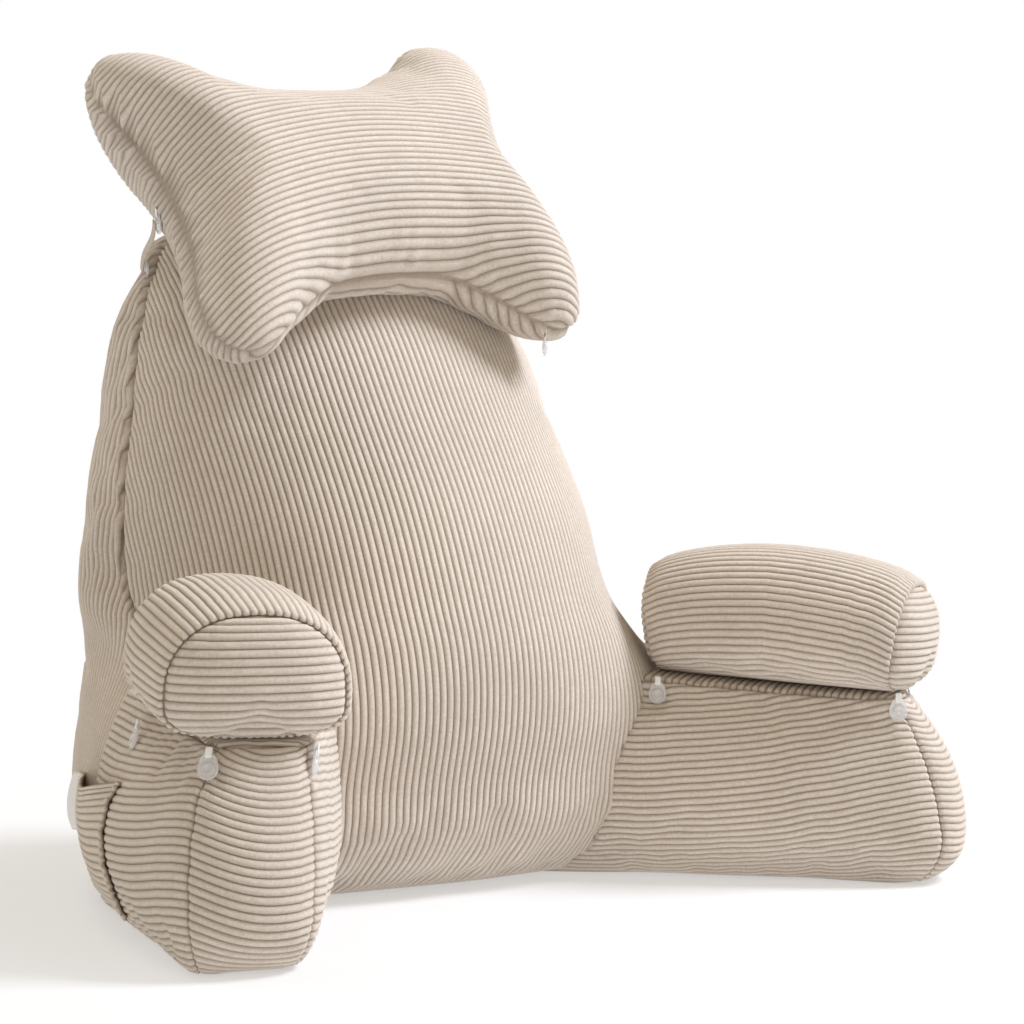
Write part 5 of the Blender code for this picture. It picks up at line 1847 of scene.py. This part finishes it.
def build_pocket(context):
    """The patch pocket on the left arm: sagging level ribs, a hem and sewn, rolled edges."""
    cloth = context.scene.pillow_cloth
    grid = pocket_grid()
    middle = grid.reshape(-1, 3).mean(axis=0) + np.array((0.2, 0.0, 0.0))
    u = rows_along(grid[:, grid.shape[1] // 2], 0.5 * cloth.row_step)
    tall = np.linalg.norm(np.diff(grid, axis=1), axis=2).sum(axis=1).mean()
    panel = woven(grid, u, middle, count=int(round(tall / cloth.wale_pitch)))
    offset = 0.0022 * np.exp(-((panel["low"] - 0.0035) / 0.0026) ** 2)
    offset = offset + 0.0011 * (1 + ripple(panel["across"], 0.009, 0.6)) * np.exp(
        -(panel["low"] / 0.007) ** 2)
    offset = offset - 0.0016 * np.exp(
        -((panel["low"] - POCKET_FRONT_STITCH) / 0.0018) ** 2)
    offset = offset - 0.0012 * np.exp(-((panel["high"] - 0.006) / 0.0018) ** 2)
    offset = offset - 0.0010 * np.exp(-((panel["right"] - POCKET_HEM) / 0.0016) ** 2)
    panel["co"] = panel["co"] + panel["normal"] * offset[..., None]
    panel["fade"] = np.prod([smoothstep(panel[side] / 0.002)
                             for side in ("low", "high", "right", "left")], axis=0)
    cover = Cover()
    thickened(cover, panel, POCKET_THICK)
    cover.merge(0.00005)
    piece = corduroy_piece("Pocket", cover, context, ["arm_pocket"], height=0.75)
    sewn = panel["co"] + panel["normal"] * 0.0012
    hem = [sewn[k, np.argmin(np.abs(panel["right"][k] - POCKET_HEM))]
           for k in range(2, len(u) - 2)]
    front = sewn[np.argmin(np.abs(panel["low"].mean(axis=1) - POCKET_FRONT_STITCH)), 3:-3]
    build_stitches("Pocket_stitches", [np.array(hem), front], context)
    return grid[-1, ::-1]


def build_stitches(name, lines, context, step=0.0032, length=0.0024, thick=0.00035):
    """Rows of sewing stitches along seam lines."""
    mesh = bpy.data.meshes.new(name)
    points, edges = [], []
    for line in lines:
        first = len(points)
        points += line.tolist()
        edges += [(first + i, first + i + 1) for i in range(len(line) - 1)]
    mesh.from_pydata(points, edges, [])
    piece = new_piece(name, mesh)
    thread = plain_weave("Sewing thread", context.scene.pillow_colours.thread, 1500.0, 0.2)
    through(piece, stitch_tree(), {"Step": step, "Length": length, "Thickness": thick,
                                   "Material": thread})
    piece.data.shade_smooth()
    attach(piece, BODY)
    return piece


def tape(name, edge_a, edge_b, thick, material, nodes, slot):
    """A thin flat band between two edges, rounded along its rims."""
    rows = [np.array(edge_a), np.array(edge_b)]
    along = np.gradient(0.5 * (rows[0] + rows[1]), axis=0)
    normal = unit(np.cross(along, rows[1] - rows[0]))
    shares = (0.0, 0.02, 0.10, 0.30, 0.50, 0.70, 0.90, 0.98, 1.0)
    swell = (0.0, 0.75, 1.0, 1.0, 1.0, 1.0, 1.0, 0.75, 0.0)
    half = list(zip(shares, swell))
    ring = half + [(t, -k) for t, k in half[-2:0:-1]]
    grid = np.array([rows[0] + (rows[1] - rows[0]) * t + 0.5 * thick * k * normal for t, k in ring])
    grid = np.concatenate((grid, grid[:1]))
    cover = Cover()
    cover.add(grid, 0.0, 0.0, grid_faces(*grid.shape[:2]))
    cover.merge(1e-6)
    cover.cap()
    piece = new_piece(name, tidy_faces(cover.mesh(name)))
    piece.data.materials.append(material)
    if nodes:
        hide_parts(*nodes)
    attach(piece, BODY)
    return piece


def build_label(seam, context):
    """The bare care label, sewn in at the pocket's back edge and curling off the cover."""
    width, height = LABEL_SIZE
    away = unit(np.array((0.03, 1.0, 0.0)))
    down = np.linspace(0.001, 0.001 + height, 15)
    fall = seam[0, 2] - seam[:, 2]
    edge_a = between(down, fall, seam)
    edge_a = edge_a + away * (0.5 * LABEL_THICK + 0.0006)
    t = np.linspace(0, 1, len(down))
    curl = np.zeros((len(down), 3))
    curl[:, 0] = -LABEL_CURL * np.sin(np.pi * t)
    edge_b = edge_a + away * width + curl
    white = plain_weave("Label tape", context.scene.pillow_colours.tape, 900.0, 0.15)
    piece = tape("Care_label", edge_a, edge_b, LABEL_THICK, white, ["care_label"], "label_tape")
    lines = [edge_a[1:-1] + (edge_b - edge_a)[1:-1] * 0.12 + np.array((-0.0006, 0.0, 0.0))]
    build_stitches("Label_stitches", lines, context)


def build_strap(context):
    """The short strap that joins the head pillow's left-hand snap tabs."""
    ends = []
    for name, hang in (("head_clip_left", (0.2, 0.5, -0.8)), ("head_ring_left", (-0.3, -0.6, 0.8))):
        centre, facing, _, _, _, _, deep = tab_frame(name)
        facing = facing * (-1.0 if facing[0] > 0 else 1.0)
        hang = np.array(hang)
        hang = unit(hang - facing * (hang @ facing))
        ends.append((centre + facing * (deep + 0.0005 + 0.5 * STRAP_THICK), facing, hang))
    (start, face_a, down), (end, face_b, up) = ends
    start, end = start - down * STRAP_TAIL, end - up * STRAP_TAIL
    reach = 0.9 * np.linalg.norm(end - start)
    t = np.linspace(0, 1, 25)[:, None]
    middle = ((2 * t ** 3 - 3 * t ** 2 + 1) * start + (t ** 3 - 2 * t ** 2 + t) * reach * down
              + (3 * t ** 2 - 2 * t ** 3) * end - (t ** 3 - t ** 2) * reach * up)
    run = np.gradient(middle, axis=0)
    across = 0.5 * STRAP_WIDTH * unit(np.cross(run, face_a * (1 - t) + face_b * t))
    cotton = plain_weave("Strap tape", context.scene.pillow_colours.strap, 700.0, 0.3)
    tape("Head_strap", middle - across, middle + across, STRAP_THICK, cotton, ["head_strap"],
         "corduroy")


# ---------------------------------------------------------------- snap tabs
def tab_frame(name):
    """Centre, facing, tip direction and size of a snap tab, read off its CAD node."""
    points = np.unique(np.round(node_points(name), 6), axis=0)
    _, _, axes = np.linalg.svd(points - points.mean(axis=0), full_matrices=False)
    facing = axes[2]
    depth = (points - points.mean(axis=0)) @ facing
    boss = np.abs(np.abs(depth) - np.abs(depth).max()) < 2e-4
    centre = points[boss].mean(axis=0)
    flat = points - centre
    flat = flat - np.outer(flat @ facing, facing)
    reach = np.linalg.norm(flat, axis=1)
    tip = unit(flat[reach.argmax()])
    side = np.cross(tip, facing)
    return centre, facing, tip, side, reach.max(), np.abs(flat @ side).max(), np.abs(depth).max()


def build_tab(name, context):
    """A clear teardrop snap tab: a beaded rim, a thin web and a stepped button on both faces."""
    centre, facing, tip, side, length, half, deep = tab_frame(name)
    segments = 40
    angle = 2 * np.pi * np.arange(segments) / segments
    tear = half * (1.0 + (length / half - 1.0) * np.maximum(0.0, np.cos(angle)) ** 3)
    disc = np.full(segments, half)
    profile = [(rim * wide, high * deep) for rim, wide, high in (
        (tear, 1.0, 0.0), (tear, 0.985, 0.34), (tear, 0.93, 0.5), (tear, 0.86, 0.34),
        (tear, 0.81, 0.16), (disc, 0.70, 0.16), (disc, 0.66, 0.75), (disc, 0.60, 0.94),
        (disc, 0.46, 1.0), (disc, 0.36, 0.86), (disc, 0.26, 0.62), (disc, 0.08, 0.58))]
    rings = [(r, -d) for r, d in profile[:0:-1]] + profile
    cover = Cover()
    grid = np.array([centre + np.outer(radius * np.cos(angle), tip)
                     + np.outer(radius * np.sin(angle), side) + depth * facing
                     for radius, depth in rings])
    grid = np.concatenate((grid, grid[:, :1]), axis=1)
    cover.add(grid, 0.0, 0.0, grid_faces(*grid.shape[:2]))
    cover.merge(1e-6)
    cover.cap()
    piece = new_piece("Snap_" + name, tidy_faces(cover.mesh("Snap_" + name)))
    piece.data.materials.append(clear_plastic(context.scene.pillow_colours))
    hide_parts(name)
    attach(piece, BODY)
    build_ribbon(name, centre + tip * (0.80 * length), tip, side, facing, context)
    return piece


def build_ribbon(name, eye, tip, side, facing, context):
    """The folded ribbon that holds a snap tab by the eye of its tip."""
    out, back = np.linspace(1.0, 0.0, 6), np.linspace(0.0, 1.0, 6)
    turn = np.linspace(0.0, np.pi, 9)[1:-1]
    bar = 0.0013
    path = np.concatenate((
        eye + np.outer(out, tip) * RIBBON_LENGTH + facing * bar,
        eye - np.outer(np.sin(turn), tip) * bar + np.outer(np.cos(turn), facing) * bar,
        eye + np.outer(back, tip) * RIBBON_LENGTH - facing * bar))
    half = 0.5 * RIBBON_WIDTH * side
    white = plain_weave("Ribbon tape", context.scene.pillow_colours.tape, 900.0, 0.15)
    tape("Ribbon_" + name, path - half, path + half, RIBBON_THICK, white, [], "label_tape")


# ---------------------------------------------------------------- stage
def build_stage(context):
    """The floor, the soft lights and the camera at the photograph's angle."""
    stage, colours = context.scene.pillow_stage, context.scene.pillow_colours
    mesh = bpy.data.meshes.new("Floor")
    rings, count = (0.0, 0.5, 1.0, 1.6, 2.6, 5.0, 12.0, 40.0), 48
    points = [(0.0, 0.0, 0.0)]
    for radius in rings[1:]:
        points += [(radius * math.cos(2 * math.pi * i / count),
                    radius * math.sin(2 * math.pi * i / count), 0.0) for i in range(count)]
    faces = [(0, 1 + i, 1 + (i + 1) % count) for i in range(count)]
    for ring in range(len(rings) - 2):
        first = 1 + ring * count
        faces += [(first + i, first + count + i, first + count + (i + 1) % count,
                   first + (i + 1) % count) for i in range(count)]
    mesh.from_pydata(points, [], faces)
    mesh.materials.append(studio_floor(colours))
    floor = new_piece("Floor", mesh)
    world = context.scene.world or bpy.data.worlds.new("Room")
    context.scene.world = world
    world.use_nodes = True
    room = world.node_tree
    back = room.nodes["Background"]
    sky = feed(room, back, {"Color": (1.0, 0.86, 0.66, 1.0), "Strength": stage.sky})
    wall = feed(room, room.nodes.new("ShaderNodeBackground"), {"Color": WHITE, "Strength": 1.0})
    seen = room.nodes.new("ShaderNodeLightPath").outputs["Is Camera Ray"]
    chosen = feed(room, room.nodes.new("ShaderNodeMixShader"), {"Fac": seen, 1: sky, 2: wall})
    room.links.new(chosen, room.nodes["World Output"].inputs["Surface"])
    for name, place, aim, size, power in (
            ("Key", (3.4, -2.3, 4.4), (0.0, 0.0, 0.30), 2.0, stage.key_power),
            ("Fill", (-2.6, -0.9, 1.5), (0.0, 0.0, 0.3), 1.8, stage.fill_power),
            ("Top", (-0.8, 0.9, 3.2), (0.0, 0.0, 0.3), 1.6, stage.top_power)):
        light = bpy.data.lights.new(name, "AREA")
        light.energy = power
        light.color = (1.0, 1.0, 1.0) if name != "Key" else (0.86, 0.90, 1.0)
        light.size = size
        lamp = bpy.data.objects.new(name, light)
        lamp.location = place
        lamp.rotation_euler = (Vector(aim) - Vector(place)).to_track_quat("-Z", "Y").to_euler()
        context.scene.collection.objects.link(lamp)
    camera = bpy.data.cameras.new("Camera")
    camera.lens = stage.camera_lens
    camera.sensor_width = 36.0
    camera.clip_end = 100.0
    stand = bpy.data.objects.new("Camera", camera)
    stand.location = stage.camera_place
    stand.rotation_euler = (math.pi / 2 - stage.camera_drop, 0.0, -stage.camera_turn)
    context.scene.collection.objects.link(stand)
    context.scene.camera = stand
    context.scene.view_settings.view_transform = "Standard"


# ---------------------------------------------------------------- operators
class PillowBackrest(bpy.types.Operator):
    """Build the wedge backrest."""
    bl_idname = "reading_pillow.backrest"
    bl_label = "Backrest"

    def execute(self, context):
        build_backrest(context)
        return {"FINISHED"}


class PillowArms(bpy.types.Operator):
    """Build the two lower arms."""
    bl_idname = "reading_pillow.arms"
    bl_label = "Arms"

    def execute(self, context):
        for side in ("left", "right"):
            build_arm(side, context)
        return {"FINISHED"}


class PillowPads(bpy.types.Operator):
    """Build the two bolster pads on the arms."""
    bl_idname = "reading_pillow.pads"
    bl_label = "Arm pads"

    def execute(self, context):
        for side in ("left", "right"):
            build_pad(side, context)
        return {"FINISHED"}


class PillowHead(bpy.types.Operator):
    """Build the head pillow."""
    bl_idname = "reading_pillow.head"
    bl_label = "Head pillow"

    def execute(self, context):
        build_head_pillow(context)
        return {"FINISHED"}


class PillowTabs(bpy.types.Operator):
    """Build the clear snap tabs."""
    bl_idname = "reading_pillow.tabs"
    bl_label = "Snap tabs"

    def execute(self, context):
        for name in sorted(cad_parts):
            if name.startswith(("clip_", "head_clip", "head_ring")):
                build_tab(name, context)
        return {"FINISHED"}


class PillowPocket(bpy.types.Operator):
    """Build the arm pocket with its care label."""
    bl_idname = "reading_pillow.pocket"
    bl_label = "Pocket and label"

    def execute(self, context):
        build_label(build_pocket(context), context)
        return {"FINISHED"}


class PillowStrap(bpy.types.Operator):
    """Build the head pillow's strap."""
    bl_idname = "reading_pillow.strap"
    bl_label = "Strap"

    def execute(self, context):
        build_strap(context)
        return {"FINISHED"}


class PillowStage(bpy.types.Operator):
    """Set up the floor, the lights and the camera."""
    bl_idname = "reading_pillow.stage"
    bl_label = "Stage"

    def execute(self, context):
        build_stage(context)
        return {"FINISHED"}


class PillowPanel(bpy.types.Panel):
    """Sizes, colours and the steps that build the pillow."""
    bl_idname = "VIEW3D_PT_reading_pillow"
    bl_label = "Reading pillow"
    bl_space_type = "VIEW_3D"
    bl_region_type = "UI"
    bl_category = "Reading pillow"

    def draw(self, context):
        for group in (context.scene.pillow_cloth, context.scene.pillow_filling,
                      context.scene.pillow_colours, context.scene.pillow_stage):
            box = self.layout.box()
            for name in group.bl_rna.properties.keys():
                if name not in ("rna_type", "name"):
                    box.prop(group, name)
        for step in STEPS:
            self.layout.operator(step.bl_idname)


STEPS = (PillowBackrest, PillowArms, PillowPads, PillowHead, PillowPocket, PillowStrap,
         PillowTabs, PillowStage)
GROUPS = {"pillow_cloth": ReadingPillowCloth, "pillow_filling": ReadingPillowFilling,
          "pillow_colours": ReadingPillowColours, "pillow_stage": ReadingPillowStage}


def register():
    """Register the property groups, the operators and the panel."""
    for group in GROUPS.values():
        bpy.utils.register_class(group)
    for name, group in GROUPS.items():
        setattr(bpy.types.Scene, name, PointerProperty(type=group))
    for step in STEPS + (PillowPanel,):
        bpy.utils.register_class(step)


def unregister():
    """Take everything off again."""
    for step in reversed(STEPS + (PillowPanel,)):
        bpy.utils.unregister_class(step)
    for name, group in GROUPS.items():
        delattr(bpy.types.Scene, name)
        bpy.utils.unregister_class(group)


def main():
    """Build the pillow and its stage."""
    register()
    bpy.ops.reading_pillow.backrest()
    bpy.ops.reading_pillow.arms()
    bpy.ops.reading_pillow.pads()
    bpy.ops.reading_pillow.head()
    bpy.ops.reading_pillow.pocket()
    bpy.ops.reading_pillow.strap()
    bpy.ops.reading_pillow.tabs()
    bpy.ops.reading_pillow.stage()


if __name__ == "__main__":
    main()
